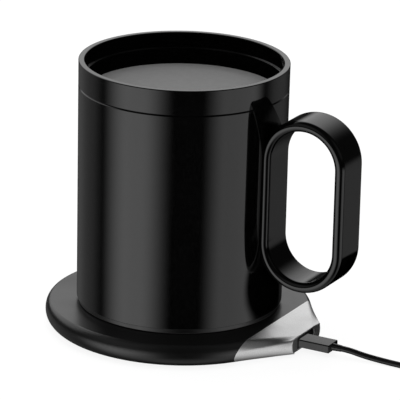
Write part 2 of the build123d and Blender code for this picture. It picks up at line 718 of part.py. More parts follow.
spring_rise = CARRIER_Z - FLOOR_Z - SPRING_WIRE
with BuildPart() as one_spring:
    with BuildLine() as coil_line:
        Helix(pitch=spring_rise / SPRING_TURNS, height=spring_rise, radius=SPRING_MEAN_R)
    with BuildSketch(Plane(origin=coil_line.line @ 0, z_dir=coil_line.line % 0)):
        RegularPolygon(SPRING_WIRE / 2, 6)
    sweep(is_frenet=True)
with BuildPart() as plate_springs:
    for n in range(SPRING_COUNT):
        angle = SPRING_START + n * 360 / SPRING_COUNT
        with Locations(polar(SPRING_CIRCLE, angle, FLOOR_Z + SPRING_WIRE / 2)):
            add(one_spring.part)
finish(plate_springs, "plate_springs")

with BuildPart() as heater_leads:
    for side in (-1, 1):
        lead_z = BOARD_TOP_Z + TERMINAL_SIZE[2] + LEAD_R
        route = (
            (TERMINAL_X, side * LEAD_Y, lead_z),
            (LEAD_X, side * LEAD_Y, lead_z),
            (LEAD_X, side * LEAD_Y, HEATER_Z),
        )
        with BuildLine() as lead_line:
            FilletPolyline(*route, radius=3 * LEAD_R)
        with BuildSketch(Plane(origin=route[0], z_dir=(-1, 0, 0))):
            Circle(LEAD_R)
        sweep(path=lead_line.line)
finish(heater_leads, "heater_leads")

# ================================================================== mug
with BuildPart() as mug_foot:
    with BuildSketch(Plane.XY.offset(MUG_Z)):
        Circle(FOOT_R)
    extrude(amount=FOOT_REVEAL)
    with BuildSketch(Plane.XY.offset(WALL_Z)):
        Circle(MUG_LOW_R - OUTER_WALL - FIT)
    extrude(amount=FOOT_SPIGOT)
    chamfer(mug_foot.edges().sort_by(Axis.Z)[0], RIM_ROUND)
finish(mug_foot, "mug_foot")

with BuildPart() as mug_wall:
    wall_top_r = cup_radius(SEAM_Z, MUG_LOW_R, MUG_TOP_R)
    with BuildSketch(Plane.XZ):
        Polygon(
            (MUG_LOW_R - OUTER_WALL, WALL_Z),
            (MUG_LOW_R, WALL_Z),
            (wall_top_r, SEAM_Z),
            (wall_top_r - OUTER_WALL, SEAM_Z),
            align=None,
        )
    revolve(axis=Axis.Z)
    rings = mug_wall.edges().filter_by(GeomType.CIRCLE).sort_by(Axis.Z)
    chamfer(rings[-2:].sort_by(SortBy.LENGTH)[-1], GROOVE)
    fillet(rings[:2].sort_by(SortBy.LENGTH)[-1], WALL_ROUND)
finish(mug_wall, "mug_wall")

with BuildPart() as mug_liner:
    floor_z = LINER_UNDER_Z + LINER_FLOOR
    with BuildSketch(Plane.XZ):
        Polygon(
            (0, LINER_UNDER_Z),
            (LINER_LOW_R + LINER_WALL, LINER_UNDER_Z),
            (LINER_TOP_R + LINER_WALL, SEAM_Z),
            (wall_top_r, SEAM_Z),
            (MUG_TOP_R, MUG_TOP_Z),
            (MUG_TOP_R - RIM_WALL, MUG_TOP_Z),
            (MUG_TOP_R - RIM_WALL, STEP_Z),
            (LINER_TOP_R, STEP_Z),
            (LINER_LOW_R, floor_z),
            (0, floor_z),
            align=None,
        )
    revolve(axis=Axis.Z)
    rings = mug_liner.edges().filter_by(GeomType.CIRCLE)
    fillet(rings.filter_by_position(Axis.Z, floor_z - FIT, floor_z + FIT), LINER_CORNER_R - LINER_WALL)
    rings = mug_liner.edges().filter_by(GeomType.CIRCLE)
    fillet(rings.sort_by(Axis.Z)[0], LINER_CORNER_R)
    rings = mug_liner.edges().filter_by(GeomType.CIRCLE)
    fillet(rings.filter_by_position(Axis.Z, MUG_TOP_Z - FIT, MUG_TOP_Z + FIT), RIM_ROUND)
    rings = mug_liner.edges().filter_by(GeomType.CIRCLE)
    seam = rings.filter_by_position(Axis.Z, SEAM_Z - FIT, SEAM_Z + FIT)
    chamfer(seam.sort_by(SortBy.LENGTH)[-1], GROOVE)
finish(mug_liner, "mug_liner")

with BuildPart() as cup_envelope:
    with BuildSketch(Plane.XZ):
        Polygon(
            (0, WALL_Z),
            (MUG_LOW_R, WALL_Z),
            (MUG_TOP_R, MUG_TOP_Z),
            (0, MUG_TOP_Z),
            align=None,
        )
    revolve(axis=Axis.Z)

with BuildPart() as mug_handle:
    ring_h = HANDLE_TOP_Z - HANDLE_LOW_Z
    ring_w = HANDLE_OUT_R - HANDLE_IN_R
    ring_centre = ((HANDLE_OUT_R + HANDLE_IN_R) / 2, (HANDLE_TOP_Z + HANDLE_LOW_Z) / 2)
    with BuildSketch(Plane.XZ):
        with Locations(ring_centre):
            SlotOverall(ring_h, ring_w, rotation=90)
            SlotOverall(
                ring_h - 2 * STRAP_T, ring_w - 2 * STRAP_T, rotation=90, mode=Mode.SUBTRACT
            )
    extrude(amount=STRAP_W / 2, both=True)
    flanks = mug_handle.faces().filter_by(Axis.Y)
    fillet(flanks.edges(), STRAP_ROUND)
    add(cup_envelope.part, mode=Mode.SUBTRACT)
finish(mug_handle, "mug_handle")

# ================================================================== power plug
with BuildPart() as plug_shell:
    plug_tip = Plane.YZ.offset(GRIP_START_X - PLUG_SHELL_OUT)
    with BuildSketch(plug_tip):
        with Locations((0, PORT_Z)):
            plug_outline(PLUG_SHELL_W, PLUG_SHELL_H)
    extrude(amount=PLUG_SHELL_OUT + PLUG_SHELL_IN)
    with BuildSketch(plug_tip):
        with Locations((0, PORT_Z)):
            plug_outline(PLUG_SHELL_W - 2 * PLUG_SHELL_T, PLUG_SHELL_H - 2 * PLUG_SHELL_T)
    extrude(amount=PLUG_SHELL_OUT, mode=Mode.SUBTRACT)
finish(plug_shell, "plug_shell")

with BuildPart() as plug_grip:
    with BuildSketch(Plane.YZ.offset(GRIP_START_X)):
        with Locations((0, PORT_Z)):
            RectangleRounded(GRIP_W, GRIP_H, GRIP_ROUND)
    extrude(amount=GRIP_BACK_X - GRIP_START_X)
    fillet(plug_grip.faces().sort_by(Axis.X)[-1].edges(), 0.8 * GRIP_ROUND)
    with BuildSketch(Plane.YZ.offset(GRIP_START_X)):
        with Locations((0, PORT_Z)):
            plug_outline(PLUG_SHELL_W, PLUG_SHELL_H)
    extrude(amount=PLUG_SHELL_IN, mode=Mode.SUBTRACT)
finish(plug_grip, "plug_grip")

with BuildPart() as plug_relief:
    with BuildSketch(Plane.YZ.offset(GRIP_BACK_X)):
        with Locations((0, PORT_Z)):
            Circle(RELIEF_R)
    with BuildSketch(Plane.YZ.offset(RELIEF_X)):
        with Locations((0, PORT_Z)):
            Circle(CORD_R + FIT)
    loft()
finish(plug_relief, "plug_relief")

# ================================================================== cord
coil_x, coil_y = COIL_CENTRE
lead_points = [
    (RELIEF_X, 0.0, PORT_Z),
    (73.4, 0.0, PORT_Z),
    (79.2, 0.5, 2.25),
    (87.2, 1.6, 1.25),
    (97.5, 1.3, CORD_R),
    (104.0, 1.45, 1.3),
    (coil_x, coil_y - COIL_OUT_R, COIL_LAYER_Z[0]),
]
tail_start = Vector(coil_x, coil_y) + Vector(*polar(COIL_OUT_R, TAIL_ANGLE))
tail_points = [
    (tail_start.X, tail_start.Y, COIL_LAYER_Z[-1]),
    (118.38, 39.08, 3.8),
    (114.36, 42.69, FAR_Z),
    (FAR_START[0], FAR_START[1], FAR_Z),
]

cord_lead = cord_tube(lead_points, "cord_lead")
finish(cord_lead, "cord_lead")
cord_tail = cord_tube(tail_points, "cord_tail")
finish(cord_tail, "cord_tail")

coil_w = COIL_OUT_R - COIL_IN_R + CORD_D
coil_h = COIL_LAYERS * CORD_D
with BuildPart() as cord_coil:
    with BuildSketch(Plane(origin=(coil_x, coil_y, 0), z_dir=(0, -1, 0), x_dir=(1, 0, 0))):
        with Locations((COIL_MID_R, TIE_T + coil_h / 2)):
            RectangleRounded(coil_w, coil_h, 0.9 * CORD_R)
    revolve(axis=Axis((coil_x, coil_y, 0), (0, 0, 1)))
finish(cord_coil, "cord_coil")

with BuildPart() as cord_tie:
    across = Vector(*polar(1, TIE_ANGLE))
    with BuildSketch(
        Plane(origin=(coil_x, coil_y, 0), x_dir=across, z_dir=(across.Y, -across.X, 0))
    ):
        with Locations((COIL_MID_R - TIE_T / 2, TIE_T + coil_h / 2)):
            RectangleRounded(coil_w + 3 * TIE_T, coil_h + 2 * TIE_T, CORD_R)
    extrude(amount=TIE_W / 2, both=True)
    add(cord_coil.part, mode=Mode.SUBTRACT)
finish(cord_tie, "cord_tie")

# ================================================================== far plug
far_dir = Vector(*polar(1, FAR_ANGLE))
far_side = Vector(-far_dir.Y, far_dir.X, 0)


def far_plane(distance):
    """Plane across the far plug, a distance along it from where the cord goes in."""
    start = Vector(FAR_START[0], FAR_START[1], FAR_Z)
    return Plane(origin=start + far_dir * distance, x_dir=far_side, z_dir=far_dir)


with BuildPart() as far_relief:
    with BuildSketch(far_plane(0)):
        Circle(CORD_R + FIT)
    with BuildSketch(far_plane(FAR_RELIEF_L)):
        Circle(FAR_RELIEF_R)
    loft()
finish(far_relief, "far_relief")

with BuildPart() as far_grip:
    with BuildSketch(far_plane(FAR_RELIEF_L)):
        RectangleRounded(FAR_GRIP[1], FAR_GRIP[2], FAR_ROUND)
    extrude(amount=FAR_GRIP[0])
    ends = far_grip.faces().filter_by(GeomType.PLANE).sort_by(Axis((0, 0, 0), far_dir))
    fillet([*ends[0].edges(), *ends[-1].edges()], FAR_ROUND / 2)
finish(far_grip, "far_grip")

with BuildPart() as far_shell:
    with BuildSketch(far_plane(FAR_RELIEF_L + FAR_GRIP[0])):
        Rectangle(FAR_SHELL[1], FAR_SHELL[2])
        Rectangle(FAR_SHELL[1] - 2 * SHEET_T, FAR_SHELL[2] - 2 * SHEET_T, mode=Mode.SUBTRACT)
    extrude(amount=FAR_SHELL[0])
finish(far_shell, "far_shell")

with BuildPart() as far_tongue:
    with BuildSketch(far_plane(FAR_RELIEF_L + FAR_GRIP[0])):
        with Locations((0, (FAR_SHELL[2] - FAR_TONGUE_T) / 2 - SHEET_T)):
            Rectangle(FAR_SHELL[1] - 2 * SHEET_T, FAR_TONGUE_T)
    extrude(amount=FAR_SHELL[0] - SHEET_T)
finish(far_tongue, "far_tongue")
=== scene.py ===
"""Electric mug warmer: a warming base, its handled mug and its power cord, in a plain studio."""

import logging
from collections.abc import Mapping, Sequence
from dataclasses import dataclass
from enum import Enum
from math import atan2, cos, degrees, pi, radians, sin, sqrt, tan

import bmesh
import bpy
from mathutils import Matrix, Vector

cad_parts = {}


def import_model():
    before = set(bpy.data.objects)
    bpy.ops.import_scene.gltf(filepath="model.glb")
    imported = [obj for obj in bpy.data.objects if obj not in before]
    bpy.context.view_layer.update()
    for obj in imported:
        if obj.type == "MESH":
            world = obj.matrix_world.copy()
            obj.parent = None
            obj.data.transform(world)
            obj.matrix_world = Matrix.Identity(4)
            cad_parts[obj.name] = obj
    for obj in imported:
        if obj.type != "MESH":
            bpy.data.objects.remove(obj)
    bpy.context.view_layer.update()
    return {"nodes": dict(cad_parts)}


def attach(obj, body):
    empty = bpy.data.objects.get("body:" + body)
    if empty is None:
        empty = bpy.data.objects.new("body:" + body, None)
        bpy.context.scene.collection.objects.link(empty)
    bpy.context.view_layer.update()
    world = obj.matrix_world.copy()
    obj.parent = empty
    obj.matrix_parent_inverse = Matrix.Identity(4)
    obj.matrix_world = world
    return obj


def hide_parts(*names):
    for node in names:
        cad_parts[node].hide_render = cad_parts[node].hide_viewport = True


MM = 0.001
FLOAT, VECTOR = "NodeSocketFloat", "NodeSocketVector"
BLACK, WHITE = (0.0, 0.0, 0.0, 1.0), (1.0, 1.0, 1.0, 1.0)
log = logging.getLogger("mug_warmer")

Piece = bpy.types.Object
Socket = bpy.types.NodeSocket
Point = tuple[float, float, float]
Span = tuple[float, float]  # where something begins and where it is complete
Outline = list[Point]  # across, up and edge mark of each point


# ---- mesh helpers
def eased(value: float, start: float, end: float) -> float:
    """Smooth step from 0 at the start to 1 at the end."""
    share = min(1.0, max(0.0, (value - start) / (end - start)))
    return share * share * (3 - 2 * share)


def part_way(first: Point, last: Point, share: float) -> Point:
    """Point part of the way between two others."""
    return tuple(a + (b - a) * share for a, b in zip(first, last))


def rounded(corners: Sequence[Point], steps: int = 6) -> Outline:
    """Open outline whose corners are tangent arcs.

    Args:
        corners: across, up and corner radius of each corner, in mm.
        steps: straight pieces in each arc.

    Returns:
        Across, up and edge mark (1 on an arc, 0 elsewhere) of each point.
    """
    points: Outline = [(*corners[0][:2], 0.0)]
    for before, corner, after in zip(corners, corners[1:], corners[2:]):
        here, radius = Vector(corner[:2]), corner[2]
        if radius <= 0:
            points.append((here.x, here.y, 0.0))
            continue
        into, out = Vector(before[:2]) - here, Vector(after[:2]) - here
        half = into.angle(out) / 2
        reach = radius / tan(half)
        start, end = here + into.normalized() * reach, here + out.normalized() * reach
        middle = here + (into.normalized() + out.normalized()).normalized() * radius / sin(half)
        first, last = start - middle, end - middle
        turn = atan2(first.x * last.y - first.y * last.x, first.dot(last))
        spokes = (Matrix.Rotation(turn * n / steps, 2) @ first for n in range(steps + 1))
        points += [(*(middle + spoke), 1.0) for spoke in spokes]
    points.append((*corners[-1][:2], 0.0))
    return points


def new_piece(name: str, data: bpy.types.ID) -> Piece:
    """Object at the origin that shows the data."""
    piece = bpy.data.objects.new(name, data)
    bpy.context.collection.objects.link(piece)
    return piece


def piece_of(work: bmesh.types.BMesh, name: str) -> Piece:
    """Object that shows the bmesh, which is freed here."""
    mesh = bpy.data.meshes.new(name)
    work.to_mesh(mesh)
    work.free()
    return new_piece(name, mesh)


def finish_mesh(work: bmesh.types.BMesh, name: str, sharp: float = 40.0) -> Piece:
    """Turn a finished bmesh into a smooth-shaded piece with its faces pointing outwards.

    Args:
        work: the mesh, in mm, which is freed here.
        name: the piece's name.
        sharp: edges that turn by more degrees than this stay crisp.

    Returns:
        The new object.
    """
    bmesh.ops.remove_doubles(work, verts=work.verts, dist=1e-4)
    bmesh.ops.recalc_face_normals(work, faces=work.faces)
    bmesh.ops.scale(work, verts=work.verts, vec=(MM, MM, MM))
    piece = piece_of(work, name)
    mesh = piece.data
    mesh.polygons.foreach_set("use_smooth", [True] * len(mesh.polygons))
    mesh.set_sharp_from_angle(angle=radians(sharp))
    piece.modifiers.new("flat faces stay flat", "WEIGHTED_NORMAL").keep_sharp = True
    return piece


def evaluated(piece: Piece) -> bpy.types.Mesh:
    """Mesh that the piece's modifiers make of it."""
    graph = bpy.context.evaluated_depsgraph_get()
    return bpy.data.meshes.new_from_object(piece.evaluated_get(graph), depsgraph=graph)


def skin(
    name: str,
    rings: Sequence[Sequence[Point]],
    marks: Sequence[float] | None = None,
    loop: bool = True,
    folded_ends: bool = False,
    sharp: float = 40.0,
) -> Piece:
    """Skin a row of closed rings with quads.

    Args:
        name: the piece's name.
        rings: equal rows of points in mm; a ring whose points coincide becomes a pole.
        marks: edge mark of each ring, kept in the mesh as the attribute "edge".
        loop: the last ring joins the first.
        folded_ends: each end ring is a line there and back, and is closed between the two.
        sharp: edges that turn by more degrees than this stay crisp.

    Returns:
        The new object.
    """
    work = bmesh.new()
    edge_layer = work.verts.layers.float.new("edge")
    rows = []
    for number, ring in enumerate(rings):
        row = [work.verts.new(point) for point in ring]
        for vertex in row:
            vertex[edge_layer] = marks[number] if marks else 0.0
        rows.append(row)
    count = len(rows[0])
    for low, high in [*zip(rows, rows[1:]), *([(rows[-1], rows[0])] if loop else [])]:
        for n in range(count):
            after = (n + 1) % count
            work.faces.new((low[n], low[after], high[after], high[n]))
    for row in (rows[0], rows[-1]) if folded_ends else ():
        for n in range(count // 2 - 1):
            work.faces.new((row[n], row[n + 1], row[-2 - n], row[-1 - n]))
    return finish_mesh(work, name, sharp)


def lathe(name: str, outline: Outline, closed: bool = False, segments: int = 192) -> Piece:
    """Spin an outline round the Z axis.

    Args:
        name: the piece's name.
        outline: radius, height and edge mark of each point, in mm.
        closed: the outline joins up with itself; otherwise both ends are on the axis.
        segments: points round the axis.

    Returns:
        The new object.
    """
    turns = [2 * pi * n / segments for n in range(segments)]
    rings = [[(r * cos(a), r * sin(a), z) for a in turns] for r, z, _ in outline]
    return skin(name, rings, [mark for *_, mark in outline], loop=closed)


# ---- node helpers
def per_metre(size: float) -> float:
    """Blobs per metre of a pattern whose blobs are `size` mm across."""
    return 1 / (size * MM)


class Graph:
    """A node tree with short ways to add and join nodes."""

    def __init__(self, tree: bpy.types.NodeTree) -> None:
        """Start from an existing tree."""
        self.tree = tree

    def put(self, socket: Socket, value: object) -> None:
        """Feed an input with another socket, or set it to a plain value."""
        if isinstance(value, Socket):
            self.tree.links.new(value, socket)
        else:
            socket.default_value = value

    def add(
        self, kind: str, inputs: Mapping[str | int, object] | None = None, **settings: object
    ) -> bpy.types.Node:
        """Add a node.

        Args:
            kind: the node's Blender type.
            inputs: sockets or plain values for its inputs, by name or number.
            **settings: properties of the node, by name.

        Returns:
            The node.
        """
        node = self.tree.nodes.new(kind)
        for name, value in settings.items():
            setattr(node, name, value)
        for key, value in (inputs or {}).items():
            self.put(node.inputs[key], value)
        return node

    def math(self, operation: str, *values: object) -> Socket:
        """Result of a Math node that takes sockets or numbers."""
        return self.add("ShaderNodeMath", dict(enumerate(values)), operation=operation).outputs[0]

    def times(self, *values: object) -> object:
        """Product of sockets and numbers."""
        product = values[0]
        for value in values[1:]:
            product = self.math("MULTIPLY", product, value)
        return product

    def ramp(
        self, value: object, start: float, end: float, low: object = 0.0, high: object = 1.0
    ) -> Socket:
        """Smooth step of a value.

        Args:
            value: socket or number that is read.
            start: value at which the result is low.
            end: value at which the result is high.
            low: result at the start.
            high: result at the end.

        Returns:
            The step's output.
        """
        inputs = {"Value": value, "From Min": start, "From Max": end, "To Min": low, "To Max": high}
        node = self.add("ShaderNodeMapRange", inputs, interpolation_type="SMOOTHSTEP")
        return node.outputs["Result"]

    def hill(self, value: object, rise: Span, fall: Span) -> Socket:
        """Smooth hill of a value, 1 between its rise and its fall."""
        return self.times(self.ramp(value, *rise), self.ramp(value, *fall, low=1.0, high=0.0))

    def mix(self, factor: Socket, first: object, second: object, kind: str = "RGBA") -> Socket:
        """Blend two colours, or two numbers where the kind is FLOAT."""
        inputs = {"Factor": factor, "A": first, "B": second}
        return self.add("ShaderNodeMix", inputs, data_type=kind).outputs["Result"]

    def noise(
        self, vector: Socket, scale: object, detail: float = 3.0, distortion: float = 0.0
    ) -> Socket:
        """Noise of a scale in blobs per metre."""
        inputs = {"Vector": vector, "Scale": scale, "Detail": detail, "Distortion": distortion}
        return self.add("ShaderNodeTexNoise", inputs).outputs["Fac"]

    def clear_where(self, mask: Socket, shader: Socket) -> None:
        """End a material with a shader that is clear where the mask is 1."""
        clear = self.add("ShaderNodeBsdfTransparent").outputs["BSDF"]
        mixed = self.add("ShaderNodeMixShader", {"Fac": mask, 1: shader, 2: clear})
        self.add("ShaderNodeOutputMaterial", {"Surface": mixed.outputs["Shader"]})


def empty_graph(owner: bpy.types.Material | bpy.types.World) -> Graph:
    """Give the owner an empty node tree."""
    owner.use_nodes = True
    owner.node_tree.nodes.clear()
    return Graph(owner.node_tree)


def new_group(
    name: str, takes: Sequence[tuple[str, str, object]], gives: Sequence[str]
) -> tuple[bpy.types.NodeTree, Graph, bpy.types.NodeOutputs, bpy.types.NodeInputs]:
    """Start a shader node group that puts out numbers.

    Args:
        name: the group's name.
        takes: name, socket type and default of each input.
        gives: name of each output.

    Returns:
        The group, its graph, what it takes in, and what it puts out.
    """
    tree = bpy.data.node_groups.new(name, "ShaderNodeTree")
    for label, kind, default in takes:
        made = tree.interface.new_socket(label, in_out="INPUT", socket_type=kind)
        if default is not None:
            made.default_value = default
    for label in gives:
        tree.interface.new_socket(label, in_out="OUTPUT", socket_type=FLOAT)
    graph = Graph(tree)
    return tree, graph, graph.add("NodeGroupInput").outputs, graph.add("NodeGroupOutput").inputs


def grain_group() -> bpy.types.NodeTree:
    """Fine surface grain, as moulding, casting or paint leaves it.

    Returns:
        The group: Vector, Scale and Stretch in, Height and Tone out.
    """
    name = "surface grain"
    if name in bpy.data.node_groups:
        return bpy.data.node_groups[name]
    takes = [("Vector", VECTOR, None), ("Scale", FLOAT, 2000.0), ("Stretch", FLOAT, 1.0)]
    tree, graph, start, end = new_group(name, takes, ["Height", "Tone"])
    sizes = graph.add("ShaderNodeCombineXYZ", {"X": 1.0, "Y": 1.0, "Z": start["Stretch"]})
    spread = {"Vector": start["Vector"], "Scale": sizes.outputs["Vector"]}
    place = graph.add("ShaderNodeMapping", spread).outputs["Vector"]
    fine = graph.noise(place, start["Scale"], detail=2.0)
    coarser = {"Vector": place, "Scale": graph.times(start["Scale"], 0.6)}
    cells = graph.add("ShaderNodeTexVoronoi", coarser, feature="SMOOTH_F1")
    height = graph.math("ADD", fine, graph.times(cells.outputs["Distance"], 0.5))
    graph.put(end["Height"], height)
    graph.put(end["Tone"], graph.ramp(fine, start=0.35, end=0.65))
    return tree


def wear_group() -> bpy.types.NodeTree:
    """Traces of use: faint smudges over the faces and rubbed edges.

    Returns:
        The group: Vector and Smudge Scale in, Smudge and Rub out.
    """
    name = "traces of use"
    if name in bpy.data.node_groups:
        return bpy.data.node_groups[name]
    takes = [("Vector", VECTOR, None), ("Smudge Scale", FLOAT, 60.0)]
    tree, graph, start, end = new_group(name, takes, ["Smudge", "Rub"])
    blot = graph.noise(start["Vector"], start["Smudge Scale"], detail=5.0, distortion=0.6)
    graph.put(end["Smudge"], graph.ramp(blot, start=0.42, end=0.68))
    edge = graph.add("ShaderNodeAttribute", attribute_name="edge").outputs["Fac"]
    speck = graph.noise(start["Vector"], per_metre(0.8), detail=4.0)
    graph.put(end["Rub"], graph.times(edge, graph.ramp(speck, start=0.45, end=0.62)))
    return tree


# ---- finishes
@dataclass(frozen=True)
class Grain:
    """A surface's grain: its size and depth in mm, and how much finer it is along Z."""

    size: float
    depth: float
    stretch: float = 1.0


class Surface(Enum):
    """Kinds of surface, each with its own grain."""

    LACQUER = Grain(5.0, 0.0006)
    MOULDED = Grain(0.18, 0.0025)
    SATIN_METAL = Grain(0.22, 0.002)
    TURNED_METAL = Grain(0.25, 0.002, 6.0)
    RUBBER = Grain(0.3, 0.006)
    SHEET = Grain(0.6, 0.004)
    FIBRE = Grain(0.5, 0.02, 0.4)
    GLASSY = Grain(2.0, 0.0004)


@dataclass(frozen=True)
class Finish:
    """One finish: a colour on a kind of surface, with its gloss and its traces of use."""

    name: str
    colour: tuple[float, float, float]
    surface: Surface
    roughness: float
    metallic: float = 0.0
    ior: float = 1.5
    tone: float = 0.12  # how far the grain lightens or darkens the colour
    smudge: float = 0.05  # how much rougher a smudge is
    smudge_size: float = 16.0
    rub: float = 0.0  # how far a rubbed edge lightens
    rub_roughness: float = 0.12  # how much rougher a fully rubbed edge is
    coat: float = 0.0
    coat_roughness: float = 0.05
    sheen: float = 0.0

    def shade(self, factor: float, lift: float = 0.0) -> tuple[float, ...]:
        """The colour made lighter or darker."""
        return (*(min(1.0, part * factor + lift) for part in self.colour), 1.0)

    def material(self) -> bpy.types.Material:
        """The finish as a node material, built once.

        Returns:
            The material.
        """
        made = bpy.data.materials.get(self.name)
        if made:
            return made
        made = bpy.data.materials.new(self.name)
        graph = empty_graph(made)
        place = graph.add("ShaderNodeTexCoord").outputs["Object"]
        kind = self.surface.value
        inputs = {"Vector": place, "Scale": per_metre(kind.size), "Stretch": kind.stretch}
        grain = graph.add("ShaderNodeGroup", inputs, node_tree=grain_group()).outputs
        inputs = {"Vector": place, "Smudge Scale": per_metre(self.smudge_size)}
        wear = graph.add("ShaderNodeGroup", inputs, node_tree=wear_group()).outputs

        toned = graph.mix(grain["Tone"], self.shade(1 - self.tone), self.shade(1 + self.tone))
        rubbed = graph.mix(graph.times(wear["Rub"], self.rub), toned, self.shade(1.5, lift=0.06))
        rough = graph.math("ADD", self.roughness, graph.times(wear["Smudge"], self.smudge))
        rub_rough = graph.times(wear["Rub"], self.rub_roughness * self.rub)
        inputs = {"Strength": 1.0, "Distance": kind.depth * MM, "Height": grain["Height"]}
        relief = graph.add("ShaderNodeBump", inputs)
        inputs = {
            "Base Color": rubbed,
            "Roughness": graph.math("ADD", rough, rub_rough),
            "Metallic": self.metallic,
            "IOR": self.ior,
            "Coat Weight": self.coat,
            "Coat Roughness": self.coat_roughness,
            "Sheen Weight": self.sheen,
            "Normal": relief.outputs["Normal"],
        }
        shader = graph.add("ShaderNodeBsdfPrincipled", inputs)
        graph.add("ShaderNodeOutputMaterial", {"Surface": shader.outputs["BSDF"]})
        return made


def grey(level: float) -> tuple[float, float, float]:
    """Neutral colour of one level."""
    return (level, level, level)


class Finishes(Enum):
    """Every finish of the warmer."""

    MUG_LACQUER = Finish(
        "mug lacquer", grey(0.0012), Surface.LACQUER, 0.045, smudge=0.03, smudge_size=22, rub=0.05
    )
    HANDLE_LACQUER = Finish(
        "handle lacquer", grey(0.0012), Surface.LACQUER, 0.07, smudge=0.05, rub=0.06
    )
    CASING = Finish("casing black", grey(0.004), Surface.MOULDED, 0.3, ior=1.62, smudge=0.05)
    # painted sheen: the top shell is a lighter copy of the casing black, standing in for the sheen
    # on its top
    CASING_TOP = Finish("casing top", grey(0.007), Surface.MOULDED, 0.3, ior=1.62, smudge=0.05)
    BEZEL = Finish("bezel grey", grey(0.15), Surface.MOULDED, 0.38)
    # painted shade: the bezel's recess is a black copy of its grey, standing in for the shade
    # inside the port
    RECESS = Finish("recess black", grey(0.004), Surface.MOULDED, 0.5)
    COVER = Finish(
        "satin silver", grey(0.92), Surface.SATIN_METAL, 0.42, metallic=1.0, tone=0.08, smudge=0.04
    )
    PAD = Finish("pad silicone", grey(0.012), Surface.RUBBER, 0.55, ior=1.43, sheen=0.1)
    STEEL = Finish("bright steel", grey(0.62), Surface.SATIN_METAL, 0.24, metallic=1.0, tone=0.05)
    FOOT_METAL = Finish(
        "turned foot", grey(0.06), Surface.TURNED_METAL, 0.32, metallic=1.0, smudge=0.08
    )
    PLATE = Finish("plate coating", grey(0.018), Surface.SHEET, 0.36, smudge=0.12, rub=0.4)
    MICA = Finish("mica sheet", (0.42, 0.31, 0.17), Surface.SHEET, 0.4, tone=0.25)
    FELT = Finish("ceramic felt", (0.74, 0.7, 0.62), Surface.FIBRE, 0.9, sheen=0.3)
    INNER = Finish("inner plastic", grey(0.05), Surface.MOULDED, 0.45)
    BOARD = Finish("board", (0.01, 0.085, 0.035), Surface.SHEET, 0.35, coat=0.4, tone=0.2)
    CHIP = Finish("chip black", grey(0.012), Surface.MOULDED, 0.5)
    CAPACITOR = Finish("capacitor tan", (0.36, 0.22, 0.11), Surface.MOULDED, 0.4)
    TERMINAL = Finish("terminal white", grey(0.72), Surface.MOULDED, 0.4)
    SENSOR = Finish("sensor glass", (0.16, 0.045, 0.02), Surface.GLASSY, 0.08, coat=0.6)
    FUSE = Finish("fuse white", (0.76, 0.73, 0.66), Surface.MOULDED, 0.3, coat=0.3)
    LEAD = Finish("lead red", (0.42, 0.012, 0.01), Surface.RUBBER, 0.4)
    PLUG = Finish("plug plastic", grey(0.004), Surface.MOULDED, 0.24)
    CORD = Finish("cord black", grey(0.0025), Surface.RUBBER, 0.33, tone=0.2)
    TIE = Finish("tie strap", grey(0.004), Surface.RUBBER, 0.5)
    DRINK = Finish("milky drink", grey(0.255), Surface.GLASSY, 0.6, ior=1.12, tone=0.02, smudge=0.0)

    def paint(self, *pieces: Piece) -> None:
        """Give the pieces this finish in every slot."""
        made = self.value.material()
        for piece in pieces:
            slots = piece.data.materials
            if not slots:
                slots.append(made)
            for n in range(len(slots)):
                slots[n] = made


def dress(piece: Piece, finish: Finishes, body: str, slot: str = "", *nodes: str) -> Piece:
    """Finish a piece, let it ride on its body and hide the frame's nodes that it replaces.

    Args:
        piece: the piece.
        finish: its finish.
        body: the body that it rides on.
        slot: its slot, if it has one; not used.
        *nodes: the frame's nodes that it replaces.

    Returns:
        The piece.
    """
    if piece.modifiers:
        made = evaluated(piece)
        piece.modifiers.clear()
        piece.data = made
        made.name = piece.name
    finish.paint(piece)
    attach(piece, body)
    if nodes:
        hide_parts(*nodes)
    return piece


# ---- camera
@dataclass
class Viewpoint:
    """The camera's place in mm, its aim in degrees and its lens."""

    place: Point = (653.64, -1203.86, 514.51)
    heading: float = 28.5 - degrees(0.0052)  # how far the aim turns left of +Y
    dip: float = degrees(0.3270)
    roll: float = degrees(0.0249)
    lens: float = 341.3
    sensor: float = 36.0
    clip: Span = (0.05, 60.0)

    def build(self) -> Piece:
        """Make the camera and look through it."""
        turned = Matrix.Rotation(radians(self.heading), 4, "Z")
        turned @= Matrix.Rotation(radians(90 - self.dip), 4, "X")
        turned @= Matrix.Rotation(radians(self.roll), 4, "Z")
        data = bpy.data.cameras.new("camera")
        data.lens, data.sensor_width = self.lens, self.sensor
        data.clip_start, data.clip_end = self.clip
        camera = new_piece("camera", data)
        camera.matrix_world = Matrix.Translation(Vector(self.place) * MM) @ turned
        bpy.context.scene.camera = camera
        return camera


